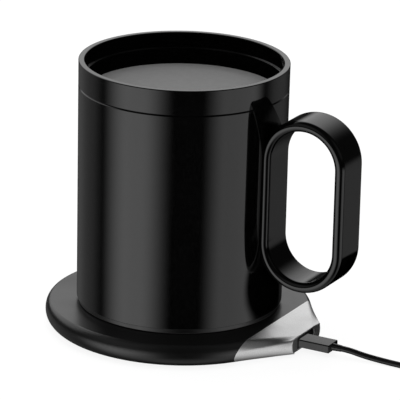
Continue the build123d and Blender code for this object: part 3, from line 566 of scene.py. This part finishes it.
# ---- power cord
@dataclass
class PowerCord:
    """The power cord: a short lead to a tied coil, and a tail to the far plug, in mm."""

    diameter: float = 2.3
    lead: tuple[Point, ...] = (
        (70.2, 0.0, 3.4),
        (73.4, 0.0, 3.4),
        (79.2, 0.5, 2.25),
        (87.2, 1.6, 1.25),
        (97.5, 1.3, 1.15),
        (104.0, 1.45, 1.3),
    )
    tail: tuple[Point, ...] = ((118.38, 39.08, 3.8), (114.36, 42.69, 3.75), (110.7, 46.1, 3.75))
    centre: tuple[float, float] = (110.0, 21.0)
    outer: float = 19.2
    pitch: float = 2.4
    columns: int = 5
    layers: tuple[float, float] = (1.55, 3.85)
    inward: Span = (-0.28, -0.02)  # turns from a whole turn in which the cord moves in
    climb: Span = (-0.5, -0.25)  # in which it climbs to the second layer
    outward: Span = (0.4, 0.62)  # in which it moves out again
    leaves: float = 50.0  # degrees from +X at which the tail leaves the coil
    per_turn: int = 18

    def turn_place(self, turn: float, spread: float) -> Point:
        """Place on the coil after so many turns.

        Args:
            turn: turns from where the lead comes in, at -90 degrees.
            spread: factor on the distance from the coil's centre.

        Returns:
            The place in mm.
        """

        def moved(whole: int, part: Span) -> float:
            """Share of a move that is done."""
            return eased(turn, whole + part[0], whole + part[1])

        count = self.columns
        steps = 0.0
        for column in range(1, count):
            steps += moved(count + column - 1, self.outward) - moved(column, self.inward)
        radius = (self.outer + self.pitch * steps) * spread
        low, high = self.layers
        angle = radians(-90 + 360 * turn)
        x, y = self.centre
        height = low + (high - low) * moved(count, self.climb)
        return (x + radius * cos(angle), y + radius * sin(angle), height)

    def route(self) -> list[Point]:
        """Control points of the whole cord, from the plug's strain relief to the far plug."""
        turns = 2 * self.columns - 1 + (self.leaves + 90) / 360
        count = round(turns * self.per_turn)
        spread = 1 / (0.75 + 0.25 * cos(2 * pi / self.per_turn))  # the line runs inside its points
        coil = [
            self.turn_place(turns * n / count, 1.0 if n in (0, count) else spread)
            for n in range(count + 1)
        ]
        return [*self.lead, *coil, *self.tail]

    def build(self, riders: Sequence[Piece]) -> Piece:
        """Make the cord as one round curve.

        Args:
            riders: the pieces on the cord; not used.

        Returns:
            The cord.
        """
        data = bpy.data.curves.new("power_cord", "CURVE")
        data.dimensions = "3D"
        data.resolution_u = 8
        data.bevel_depth = self.diameter / 2 * MM
        data.bevel_resolution = 6
        data.use_fill_caps = True
        spline = data.splines.new("NURBS")
        points = self.route()
        spline.points.add(len(points) - 1)
        for place, point in zip(points, spline.points):
            point.co = (*(part * MM for part in place), 1.0)
        spline.order_u = 3
        spline.use_endpoint_u = True
        spline.use_smooth = True
        cord = new_piece("power_cord", data)
        cord.visible_glossy = False
        dress(cord, Finishes.CORD, "cord", "cord_black", "cord_lead", "cord_coil", "cord_tail")
        return cord


# ---- studio
@dataclass(frozen=True)
class Panel:
    """A soft bright patch of the studio, by its headings right of the camera in degrees."""

    rise: Span
    fall: Span
    strength: float  # under the horizon
    upper: float = 0.0  # over the horizon


@dataclass
class Studio:
    """Pale floor, white backdrop, and soft panels that the gloss mirrors. Spans are in degrees."""

    front: float = -61.5  # heading of the camera from +X
    panels: tuple[Panel, ...] = (
        Panel((-100, -62), (-46, -8), 1.72, 0.2),
        Panel((20, 48), (80, 101), 1.0, 0.1),
        Panel((-185, -140), (-118, -92), 0.175),
        Panel((95, 118), (118, 165), 0.19),
    )
    panel_head: Span = (-3, -13)
    panel_foot: Span = (-22, -42)
    panel_low: float = 0.62  # what is left of a panel at its foot
    upper_foot: Span = (4, 16)
    upper_head: Span = (40, 65)
    near_lift: Span = (-38, -70)  # the floor close to the object is evenly lit
    near_ahead: Span = (-0.3, 0.15)  # and dark under it, as a share of the way ahead
    near_floor: float = 0.35
    backdrop_left: Span = (88, 112)
    backdrop_right: Span = (128, 166)
    backdrop_foot: Span = (5, 17)
    backdrop_head: Span = (40, 60)
    backdrop_light: float = 0.9  # its strength as a light; mirror images show it at 1
    room: float = 0.02
    floor_radius: float = 20.0
    floor_colour: float = 0.8
    floor_mottle: float = 0.01
    floor_grain: float = 1.5
    floor_glow: float = 0.9
    floor_fade: float = 0.75  # how much of its shading the eye loses to the glow
    # painted shadow: a black card that only mirror images show, in place of the object's shadow on
    # the floor
    painted_shadow_place: Point = (84.0, 52.0, 0.4)
    painted_shadow_radius: float = 58.0
    painted_shadow_edge: Span = (0.72, 0.98)  # shares of the radius between which it fades out
    lamp_height: float = 1.7
    lamp_side: float = 2.2
    lamp_power: float = 24.0

    def build(self) -> None:
        """Make the world, the floor, the painted shadow card and the lamp."""
        self.world()
        self.floor()
        self.flag()
        self.lamp()

    def panel_light(self, graph: Graph, heading: Socket, ahead: Socket, lift: Socket) -> Socket:
        """Strength of the panels and of the floor close to the object.

        Args:
            graph: the world's graph.
            heading: degrees right of the camera.
            ahead: share of the direction that points at the camera.
            lift: degrees over the horizon.

        Returns:
            The strength.
        """
        below: object = 0.0
        above: object = 0.0
        for panel in self.panels:
            part = graph.hill(heading, panel.rise, panel.fall)
            below = graph.math("ADD", below, graph.times(part, panel.strength))
            above = graph.math("ADD", above, graph.times(part, panel.upper))
        below = graph.times(below, graph.ramp(lift, *self.panel_foot, 1.0, self.panel_low))
        near = graph.ramp(ahead, *self.near_ahead, 0.0, self.near_floor)
        below = graph.mix(graph.ramp(lift, *self.near_lift), below, near, "FLOAT")
        below = graph.times(below, graph.ramp(lift, *self.panel_head))
        above = graph.times(above, graph.hill(lift, self.upper_foot, self.upper_head))
        return graph.math("ADD", below, above)

    def world(self) -> None:
        """Backdrop and panels on the world, in fixed headings."""
        world = bpy.data.worlds.new("studio")
        bpy.context.scene.world = world
        graph = empty_graph(world)
        way = graph.add("ShaderNodeTexCoord").outputs["Generated"]
        front = radians(self.front)

        def along(x: float, y: float) -> Socket:
            """Share of the direction along a level heading."""
            ways = {0: way, 1: (x, y, 0.0)}
            return graph.add("ShaderNodeVectorMath", ways, operation="DOT_PRODUCT").outputs["Value"]

        ahead = along(cos(front), sin(front))
        side = along(-sin(front), cos(front))
        heading = graph.times(graph.math("ARCTAN2", side, ahead), degrees(1))
        up = graph.add("ShaderNodeSeparateXYZ", {"Vector": way}).outputs["Z"]
        lift = graph.times(graph.math("ARCSINE", up), degrees(1))
        panels = self.panel_light(graph, heading, ahead, lift)

        left = graph.ramp(graph.times(heading, -1.0), *self.backdrop_left)
        behind = graph.math("MAXIMUM", left, graph.ramp(heading, *self.backdrop_right))
        white = graph.times(behind, graph.hill(lift, self.backdrop_foot, self.backdrop_head))
        rays = graph.add("ShaderNodeLightPath").outputs
        shown = graph.math("MAXIMUM", rays["Is Glossy Ray"], rays["Is Transmission Ray"])
        dim = self.backdrop_light
        backdrop = graph.times(white, graph.math("MULTIPLY_ADD", shown, 1 - dim, dim))
        total = graph.math("ADD", graph.math("ADD", panels, backdrop), self.room)
        seen = graph.mix(rays["Is Camera Ray"], total, 1.0, "FLOAT")
        light = graph.add("ShaderNodeBackground", {"Color": WHITE, "Strength": seen})
        graph.add("ShaderNodeOutputWorld", {"Surface": light.outputs["Background"]})

    @staticmethod
    def card(name: str, radius: float, segments: int, place: Point) -> tuple[Piece, Graph]:
        """Flat round piece of the studio.

        Args:
            name: its name.
            radius: its radius in metres.
            segments: points round it.
            place: its middle in metres.

        Returns:
            The piece, and the graph of its own material.
        """
        work = bmesh.new()
        spot = Matrix.Translation(place)
        bmesh.ops.create_circle(work, cap_ends=True, radius=radius, segments=segments, matrix=spot)
        piece = piece_of(work, name)
        made = bpy.data.materials.new(f"{name} card")
        piece.data.materials.append(made)
        return piece, empty_graph(made)

    def floor(self) -> None:
        """Pale floor that keeps the object's shadow and is clear from below."""
        floor, graph = self.card("floor", self.floor_radius, 96, (0.0, 0.0, 0.0))
        rays = graph.add("ShaderNodeLightPath").outputs
        shown = graph.math("MAXIMUM", rays["Is Glossy Ray"], rays["Is Transmission Ray"])
        shown = graph.math("MAXIMUM", rays["Is Camera Ray"], shown)
        place = graph.add("ShaderNodeTexCoord").outputs["Object"]
        levels = (self.floor_colour - self.floor_mottle, self.floor_colour + self.floor_mottle)
        tones = [(*grey(level), 1.0) for level in levels]
        tone = graph.mix(graph.noise(place, per_metre(self.floor_grain)), *tones)
        colour = graph.mix(graph.times(shown, self.floor_fade), tone, BLACK)
        paper = graph.add("ShaderNodeBsdfDiffuse", {"Color": colour}).outputs["BSDF"]
        strength = graph.times(shown, self.floor_glow)
        glow = graph.add("ShaderNodeEmission", {"Strength": strength}).outputs["Emission"]
        both = graph.add("ShaderNodeAddShader", {0: paper, 1: glow}).outputs["Shader"]
        graph.clear_where(graph.add("ShaderNodeNewGeometry").outputs["Backfacing"], both)
        floor.visible_glossy = False

    def flag(self) -> None:
        """Painted shadow: a black card on the floor behind the socket, which only mirror images
        show, in place of the object's shadow there.
        """
        centre = tuple(part * MM for part in self.painted_shadow_place)
        radius = self.painted_shadow_radius * MM
        card, graph = self.card("flag", radius, 64, centre)
        ends = {0: graph.add("ShaderNodeTexCoord").outputs["Object"], 1: centre}
        away = graph.add("ShaderNodeVectorMath", ends, operation="DISTANCE").outputs["Value"]
        edge = graph.ramp(away, *(radius * share for share in self.painted_shadow_edge))
        black = graph.add("ShaderNodeBsdfDiffuse", {"Color": BLACK}).outputs["BSDF"]
        graph.clear_where(edge, black)
        for kind in ("camera", "diffuse", "transmission", "shadow"):
            setattr(card, f"visible_{kind}", False)

    def lamp(self) -> None:
        """One broad soft lamp overhead."""
        data = bpy.data.lights.new("overhead", "AREA")
        data.shape = "SQUARE"
        data.size = self.lamp_side
        data.energy = self.lamp_power
        lamp = new_piece("overhead", data)
        lamp.location = (0.0, 0.0, self.lamp_height)
        lamp.visible_glossy = False


# ---- mug
@dataclass
class Mug:
    """The handled mug: outer wall, liner with rim band, foot, handle and the drink in it, in mm."""

    foot_z: float = 9.8
    height: float = 95.6
    top_r: float = 40.0
    taper: float = 0.6
    foot_step: float = 0.6
    foot_reveal: float = 1.8
    foot_spigot: float = 1.4
    wall: float = 1.0
    wall_round: float = 0.25
    liner_wall: float = 0.8
    gap: float = 1.2
    liner_floor: float = 1.2
    corner: float = 4.0
    collar: float = 9.8
    rim_wall: float = 2.3
    step: float = 6.1
    step_round: float = 0.15
    rim_round: float = 0.35
    groove: float = 0.35
    groove_round: float = 0.08
    groove_root: float = 0.05
    soft: float = 0.1  # rounding of a hidden corner
    fit: float = 0.1
    handle_rise: float = 15.35
    handle_drop: float = 3.27
    drink_top: float = 92.9
    drink_gap: float = 0.05
    meniscus: float = 0.12
    meniscus_w: float = 2.4
    meniscus_edge: float = 0.02
    meniscus_steps: int = 12

    def __post_init__(self) -> None:
        """Work out the heights and radii that the pieces share."""
        self.rim_z = self.foot_z + self.height
        self.seam_z = self.rim_z - self.collar  # the groove under the rim band
        self.wall_z = self.foot_z + self.foot_reveal  # the outer wall's lower edge
        self.liner_z = self.wall_z + self.foot_spigot  # the liner's underside
        self.floor_z = self.liner_z + self.liner_floor
        self.low_r = self.top_r - self.taper
        rise = (self.seam_z - self.wall_z) / (self.rim_z - self.wall_z)
        self.seam_r = self.low_r + self.taper * rise
        self.inner_r = self.top_r - self.wall - self.gap - self.liner_wall

    def inner_at(self, z: float) -> float:
        """Radius of the liner's inner wall at a height under the step."""
        share = (z - self.floor_z) / (self.rim_z - self.step - self.floor_z)
        return self.inner_r - self.taper * (1 - share)

    def build_wall(self) -> Piece:
        """Outer wall, an open tube with a chamfer at the seam."""
        top, seam, middle = self.seam_r, self.seam_z, self.low_r - self.wall / 2
        corners = [
            (middle, self.wall_z, 0),
            (self.low_r, self.wall_z, self.wall_round),
            (top, seam - self.groove, self.groove_round),
            (top - self.groove, seam, self.groove_root),
            (top - self.wall, seam, 0),
            (self.low_r - self.wall, self.wall_z, self.soft),
            (middle, self.wall_z, 0),
        ]
        return lathe("mug_outer_wall", rounded(corners)[:-1], closed=True, segments=256)

    def build_liner(self) -> Piece:
        """Liner and rim band in one, with its stepped inner wall."""
        top, seam, rim = self.seam_r, self.seam_z, self.rim_z
        low = self.inner_r - self.taper
        corners = [
            (0, self.liner_z, 0),
            (low + self.liner_wall, self.liner_z, self.corner),
            (self.inner_r + self.liner_wall, seam, 0),
            (top - self.groove, seam, self.groove_root),
            (top, seam + self.groove, self.groove_round),
            (self.top_r, rim, self.rim_round),
            (self.top_r - self.rim_wall, rim, self.rim_round),
            (self.top_r - self.rim_wall, rim - self.step, self.step_round),
            (self.inner_r, rim - self.step, self.step_round),
            (low, self.floor_z, self.corner - self.liner_wall),
            (0, self.floor_z, 0),
        ]
        return lathe("mug_inner_liner", rounded(corners, 8), segments=256)

    def build_foot(self) -> Piece:
        """Recessed metal foot."""
        radius = self.low_r - self.foot_step
        spigot = self.low_r - self.wall - self.fit
        corners = [
            (0, self.foot_z, 0),
            (radius, self.foot_z, self.rim_round),
            (radius, self.wall_z, self.soft),
            (spigot, self.wall_z, 0),
            (spigot, self.liner_z, 0),
            (0, self.liner_z, 0),
        ]
        return lathe("mug_base_foot", rounded(corners))

    def build_drink(self) -> Piece:
        """The drink, with the low meniscus that climbs the liner."""
        floor_z = self.floor_z + self.drink_gap
        top, climb = self.drink_top, self.meniscus
        side = self.inner_at(top) - self.drink_gap
        low = self.inner_at(floor_z) - self.drink_gap
        corners = [
            (0.0, floor_z, 0.0),
            (low, floor_z, self.corner - self.liner_wall),
            (side, top + climb, 0.0),
        ]
        outline = rounded(corners)
        for n in range(self.meniscus_steps + 1):
            share = n / self.meniscus_steps
            across = side - self.meniscus_edge - self.meniscus_w * share
            outline.append((across, top + climb * (1 - share) ** 3, 0.0))
        outline.append((0.0, top, 0.0))
        return lathe("mug_drink", outline)

    def build(self) -> list[Piece]:
        """Make every piece of the mug, dress it and let it ride on the mug.

        Returns:
            The pieces.
        """
        lacquer, handle_lacquer = Finishes.MUG_LACQUER, Finishes.HANDLE_LACQUER
        ends = (self.foot_z + self.handle_rise, self.seam_z - self.handle_drop)
        pieces = [
            dress(self.build_wall(), lacquer, "mug", "mug_gloss", "mug_wall"),
            dress(self.build_liner(), lacquer, "mug", "mug_gloss", "mug_liner"),
            dress(self.build_foot(), Finishes.FOOT_METAL, "mug", "mug_foot_metal", "mug_foot"),
            dress(Handle(*ends).build(), handle_lacquer, "mug", "handle_gloss", "mug_handle"),
            dress(self.build_drink(), Finishes.DRINK, "mug"),
        ]
        pieces[-1].visible_glossy = False
        return pieces


@dataclass
class Handle:
    """The mug's handle: a flat strap bent into an upright oblong ring, in mm."""

    low_z: float
    high_z: float
    inner_r: float = 37.36
    width: float = 34.94
    strap: float = 4.1
    depth: float = 17.1
    rounding: float = 1.95
    bend_points: int = 40
    corner_points: int = 10

    @staticmethod
    def strip(graph: Graph, width: Socket, height: Socket, radius: Socket, count: int) -> Socket:
        """Closed rectangle whose round corners have so many points each."""
        sides = {"Width": width, "Height": height}
        curve = graph.add("GeometryNodeCurvePrimitiveQuadrilateral", sides).outputs["Curve"]
        bends = {"Curve": curve, "Count": count, "Radius": radius}
        return graph.add("GeometryNodeFilletCurve", bends, mode="POLY").outputs["Curve"]

    def fill(self, graph: Graph) -> None:
        """Sweep the strap's section along the ring, as real geometry in its material.

        Args:
            graph: the graph of the Geometry Nodes tree.
        """
        take = graph.add("NodeGroupInput").outputs
        half = graph.times(take["Width"], 0.49999)  # just short of a half circle
        path = self.strip(graph, take["Width"], take["Height"], half, self.bend_points)
        sizes = (take["Strap"], take["Depth"], take["Rounding"])
        section = self.strip(graph, *sizes, self.corner_points)
        shape = {"Curve": path, "Profile Curve": section}
        for kind, more in (
            ("GeometryNodeCurveToMesh", {}),
            ("GeometryNodeMergeByDistance", {"Distance": 2e-6}),
            ("GeometryNodeRealizeInstances", {}),
            ("GeometryNodeSetMaterial", {"Material": take["Material"]}),
        ):
            shape = {"Geometry": graph.add(kind, {**shape, **more}).outputs[0]}
        graph.add("NodeGroupOutput", shape)

    def sweep(self, name: str) -> bpy.types.Mesh:
        """Make the ring with Geometry Nodes.

        Args:
            name: the mesh's name.

        Returns:
            The ring, lying flat round the origin.
        """
        tree = bpy.data.node_groups.new("oblong ring", "GeometryNodeTree")
        for way in ("INPUT", "OUTPUT"):
            tree.interface.new_socket("Geometry", in_out=way, socket_type="NodeSocketGeometry")
        sizes = {
            "Width": self.width - self.strap,
            "Height": self.high_z - self.low_z - self.strap,
            "Strap": self.strap,
            "Depth": self.depth,
            "Rounding": self.rounding,
        }
        takes = [(label, FLOAT, size * MM) for label, size in sizes.items()]
        takes.append(("Material", "NodeSocketMaterial", Finishes.HANDLE_LACQUER.value.material()))
        values = {}
        for label, kind, value in takes:
            made = tree.interface.new_socket(label, in_out="INPUT", socket_type=kind)
            values[made.identifier] = value
        self.fill(Graph(tree))
        host = new_piece(name, bpy.data.meshes.new(name))
        modifier = host.modifiers.new(name, "NODES")
        modifier.node_group = tree
        for identifier, value in values.items():
            modifier[identifier] = value
        mesh = evaluated(host)
        bpy.data.objects.remove(host)
        return mesh

    def build(self) -> Piece:
        """Make the ring, stand it upright and put it in its place."""
        name = "mug_loop_handle"
        centre = Vector((self.inner_r + self.width / 2, 0.0, (self.low_z + self.high_z) / 2))
        mesh = self.sweep(name)
        upright = Matrix.Translation(centre * MM) @ Matrix.Rotation(pi / 2, 4, "X")
        work = bmesh.new()
        work.from_mesh(mesh)
        bmesh.ops.transform(work, matrix=upright, verts=work.verts)
        bmesh.ops.scale(work, verts=work.verts, vec=(1 / MM, 1 / MM, 1 / MM))
        bpy.data.meshes.remove(mesh)
        return finish_mesh(work, name)


# ---- base and plug
@dataclass
class SocketEnd:
    """The silver socket end, lofted from the round casing to the port, and its dark port, in mm."""

    base_r: float = 51.3
    under_r: float = 45.8
    under_z: float = 0.2
    parting_z: float = 5.6
    top_z: float = 9.5
    edge_in: float = 2.2
    edge_rise: float = 3.9
    wall: float = 1.5
    lip: float = 0.4
    chord_x: float = 42.9
    lean: float = 20.0  # degrees of the joint with the casing
    crease: float = 3.0  # degrees round the casing's edge at which the crease starts
    cheek_from: float = -24.0
    port_x: float = 55.2
    port_half: float = 11.75
    port_under_half: float = 9.3
    port_wide_z: float = 4.8
    port_under_z: float = 1.2
    port_top_z: float = 7.4
    crease_half: float = 10.9
    crease_drop: float = 0.2
    flat_half: float = 5.0
    cheek: tuple[Span, ...] = ((11.6, 5.7), (11.45, 6.4), (11.25, 6.9))
    cheek_inset: float = 0.7  # shares of the wall by which the inside is narrower
    shoulder_inset: float = 0.5
    chamfer: float = 0.12
    chamfer_from: float = 0.99  # share of the length at which the chamfer starts
    face_in: float = 0.06  # how far the face lies behind the cover's end
    face_back: float = 54.4
    face_edge: float = 0.08
    face_play: float = 0.02
    face_centre: float = 4.0
    face_shrink: tuple[float, float] = (0.99, 0.98)
    recess_gap: float = 0.01
    bezel_back: float = 53.0
    opening_half: float = 7.3
    opening_z: Span = (1.7, 6.9)
    opening_power: float = 8.0  # 2 would be an ellipse, and more is squarer
    socket_half: float = 4.05
    socket_z: Span = (1.65, 5.15)
    funnel: float = 0.2
    low_steps: int = 8
    shoulder_steps: int = 12
    under_steps: int = 12
    stations: int = 24

    def casing_half(self, wall: float) -> list[Point]:
        """Half of the section where the socket end meets the casing.

        Args:
            wall: how far inside the outer surface it runs.

        Returns:
            Points from the lower edge to the middle of the top, in mm.
        """
        ends = (-90.0, self.cheek_from, self.crease, 90.0)
        counts = (self.low_steps, len(self.cheek) + 1, self.shoulder_steps)
        turns = [ends[0]]
        for start, end, count in zip(ends, ends[1:], counts):
            turns += [start + (end - start) * (n + 1) / count for n in range(count)]
        half = []
        for turn in turns:
            across, rise = cos(radians(turn)), sin(radians(turn))
            if turn > 0:
                r = self.base_r - self.edge_in + (self.edge_in - wall) * across
                z = self.parting_z + (self.edge_rise - wall) * rise
            else:
                r = self.under_r + (self.base_r - self.under_r - wall) * across
                z = self.parting_z + (self.parting_z - self.under_z - wall) * rise
            x = self.chord_x - (self.top_z - z) * tan(radians(self.lean))
            half.append((x, sqrt(r * r - x * x), z))
        x, _, z = half[-1]
        return [*half, (x, 0.0, z)]

    def port_half_section(self, wall: float) -> list[Point]:
        """Half of the section at the port, point for point as at the casing.

        Args:
            wall: how far inside the outer surface it runs.

        Returns:
            Points from the lower edge to the middle of the top, in mm.
        """
        swell = self.port_half - self.port_under_half - wall
        drop = self.port_wide_z - self.port_under_z - wall
        half = []
        for n in range(self.low_steps + 1):
            turn = radians(-90 + 90 * n / self.low_steps)
            y = self.port_under_half + swell * cos(turn)
            half.append((y, self.port_wide_z + drop * sin(turn)))
        inset = self.cheek_inset * wall
        half += [(y - inset, z - inset) for y, z in self.cheek]
        top = self.port_top_z - wall
        for n in range(self.shoulder_steps + 1):
            share = n / self.shoulder_steps
            y = self.crease_half + (self.flat_half - self.crease_half) * share
            half.append((y - self.shoulder_inset * wall, top - self.crease_drop * (1 - share)))
        return [(self.port_x, y, z) for y, z in [*half, (0.0, top)]]

    @staticmethod
    def mirrored(half: Sequence[Point]) -> list[Point]:
        """Both halves of a section, from one lower edge over the top to the other."""
        return [*((x, -y, z) for x, y, z in half), *reversed(half[:-1])]

    def section(self, share: float, casing_wall: float, port_wall: float) -> list[Point]:
        """Section at a share of the way from the casing to the port, inset at both."""
        pairs = zip(self.casing_half(casing_wall), self.port_half_section(port_wall))
        return self.mirrored([part_way(*pair, share) for pair in pairs])

    def section_at(self, x: float, port_wall: float) -> list[Point]:
        """Inner section cut upright at a distance from the axis."""
        shape = zip(self.casing_half(self.wall), self.port_half_section(port_wall))
        return self.mirrored([part_way(a, b, (x - a[0]) / (b[0] - a[0])) for a, b in shape])

    def build_cover(self) -> Piece:
        """The silver shell, open underneath and at both ends."""
        shares = [self.chamfer_from * n / self.stations for n in range(self.stations + 1)]
        outer = [self.section(share, 0.0, 0.0) for share in shares]
        outer.append(self.section(1.0, 0.0, self.chamfer))
        inner = [self.section(share, self.wall, self.lip) for share in (*shares, 1.0)]
        rings = [[*out, *reversed(back)] for out, back in zip(outer, inner)]
        return skin("socket_end_cover", rings, loop=False, folded_ends=True, sharp=50.0)

    def opening(self, x: float, half: float, ends: Span, like: Sequence[Point]) -> list[Point]:
        """Rounded opening with one point for each point of an outline round it.

        Args:
            x: distance from the axis.
            half: half of its width.
            ends: its lowest and highest height.
            like: the outline round it.

        Returns:
            Its points.
        """
        middle, tall = sum(ends) / 2, (ends[1] - ends[0]) / 2
        power = self.opening_power
        points = []
        for _, y, z in like:
            way = atan2(z - middle, y)
            across, rise = cos(way), sin(way)
            size = (abs(across / half) ** power + abs(rise / tall) ** power) ** (-1 / power)
            points.append((x, size * across, middle + size * rise))
        return points

    def closed_outline(self) -> list[Point]:
        """Inside of the cover round the face, closed underneath, in steps of about 1 mm."""
        arch = self.section_at(self.port_x - self.face_in, self.lip + self.face_play)
        outline = []
        for before, after in zip(arch, arch[1:]):
            count = max(1, round(abs(after[1] - before[1])))
            outline += [part_way(before, after, n / count) for n in range(count)]
        under = [part_way(arch[-1], arch[0], n / self.under_steps) for n in range(self.under_steps)]
        return [*outline, *under]

    def build_port(self) -> tuple[Piece, Piece]:
        """The port's face, a plate round the opening, and the funnel that narrows to the socket.

        Returns:
            The face and the recess.
        """
        outside = self.closed_outline()
        front, back = outside[0][0], self.face_back
        wide, narrow = (self.opening_half, self.opening_z), (self.socket_half, self.socket_z)
        across, up = self.face_shrink
        middle = self.face_centre

        def plate(x: float) -> list[Point]:
            """The face's outline at a distance from the axis."""
            return [(x, y, z) for _, y, z in outside]

        face = [
            plate(back),
            plate(front - self.face_edge),
            [(front, y * across, middle + (z - middle) * up) for _, y, z in outside],
            self.opening(front, *wide, outside),
            self.opening(back, *wide, outside),
        ]
        behind = back - self.recess_gap
        recess = [
            plate(self.bezel_back),
            plate(behind),
            self.opening(behind, *wide, outside),
            self.opening(back - self.funnel, *narrow, outside),
            self.opening(self.bezel_back, *narrow, outside),
        ]
        return skin("port_face", face), skin("port_recess", recess)

    def build(self) -> list[Piece]:
        """Make the socket end's pieces, dress them and let them ride on the base.

        Returns:
            The pieces.
        """
        cover, (face, recess) = self.build_cover(), self.build_port()
        pieces = [
            dress(cover, Finishes.COVER, "base", "silver_cover", "port_cover"),
            dress(face, Finishes.BEZEL, "base", "grey_bezel", "port_bezel"),
            # the recess is part of the grey bezel, in painted shade
            dress(recess, Finishes.RECESS, "base", "grey_bezel"),
        ]
        for piece in pieces:
            piece.visible_glossy = False
        return pieces


DRESSED: dict[Finishes, str] = {
    Finishes.CASING: "bottom_shell",
    # the top shell takes the casing's lighter copy, a painted sheen
    Finishes.CASING_TOP: "top_shell",
    Finishes.PAD: "foot_pad plate_gasket",
    Finishes.STEEL: "housing_screws board_screws usb_socket plate_springs plug_shell far_shell",
    Finishes.BOARD: "circuit_board",
    Finishes.CHIP: "control_chip heater_transistor chip_resistors socket_tongue switch_body",
    Finishes.CAPACITOR: "filter_capacitors",
    Finishes.TERMINAL: "wire_terminals switch_plunger far_tongue",
    Finishes.PLATE: "hot_plate",
    Finishes.MICA: "heater_element",
    Finishes.FELT: "insulation_disc",
    Finishes.INNER: "plate_carrier",
    Finishes.SENSOR: "temperature_sensor",
    Finishes.FUSE: "thermal_fuse",
    Finishes.LEAD: "heater_leads",
    Finishes.PLUG: "plug_grip plug_relief far_grip far_relief",
    Finishes.TIE: "cord_tie",
}


def dress_nodes(nodes: dict[str, Piece]) -> list[Piece]:
    """Dress the pieces that keep the frame's own shape.

    Args:
        nodes: the frame's nodes by name.

    Returns:
        The dressed nodes.
    """
    done = []
    for finish, names in DRESSED.items():
        for node in (nodes[name] for name in names.split()):
            finish.paint(node)
            node.visible_glossy = False  # the mug's gloss mirrors the studio alone
            done.append(node)
    return done


def main() -> None:
    """Build the warmer and its studio, and report each piece."""
    logging.basicConfig(level=logging.INFO, format="%(message)s")
    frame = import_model()
    nodes = frame["nodes"]

    bpy.context.scene.view_settings.view_transform = "Standard"
    Viewpoint().build()
    on_cord = ("plug_grip", "plug_relief", "cord_tie", "far_relief", "far_grip")
    cord = PowerCord().build([nodes[name] for name in on_cord])
    for piece in (cord, *dress_nodes(nodes), *SocketEnd().build(), *Mug().build()):
        log.info("made %s", piece.name)
    Studio().build()


if __name__ == "__main__":
    main()
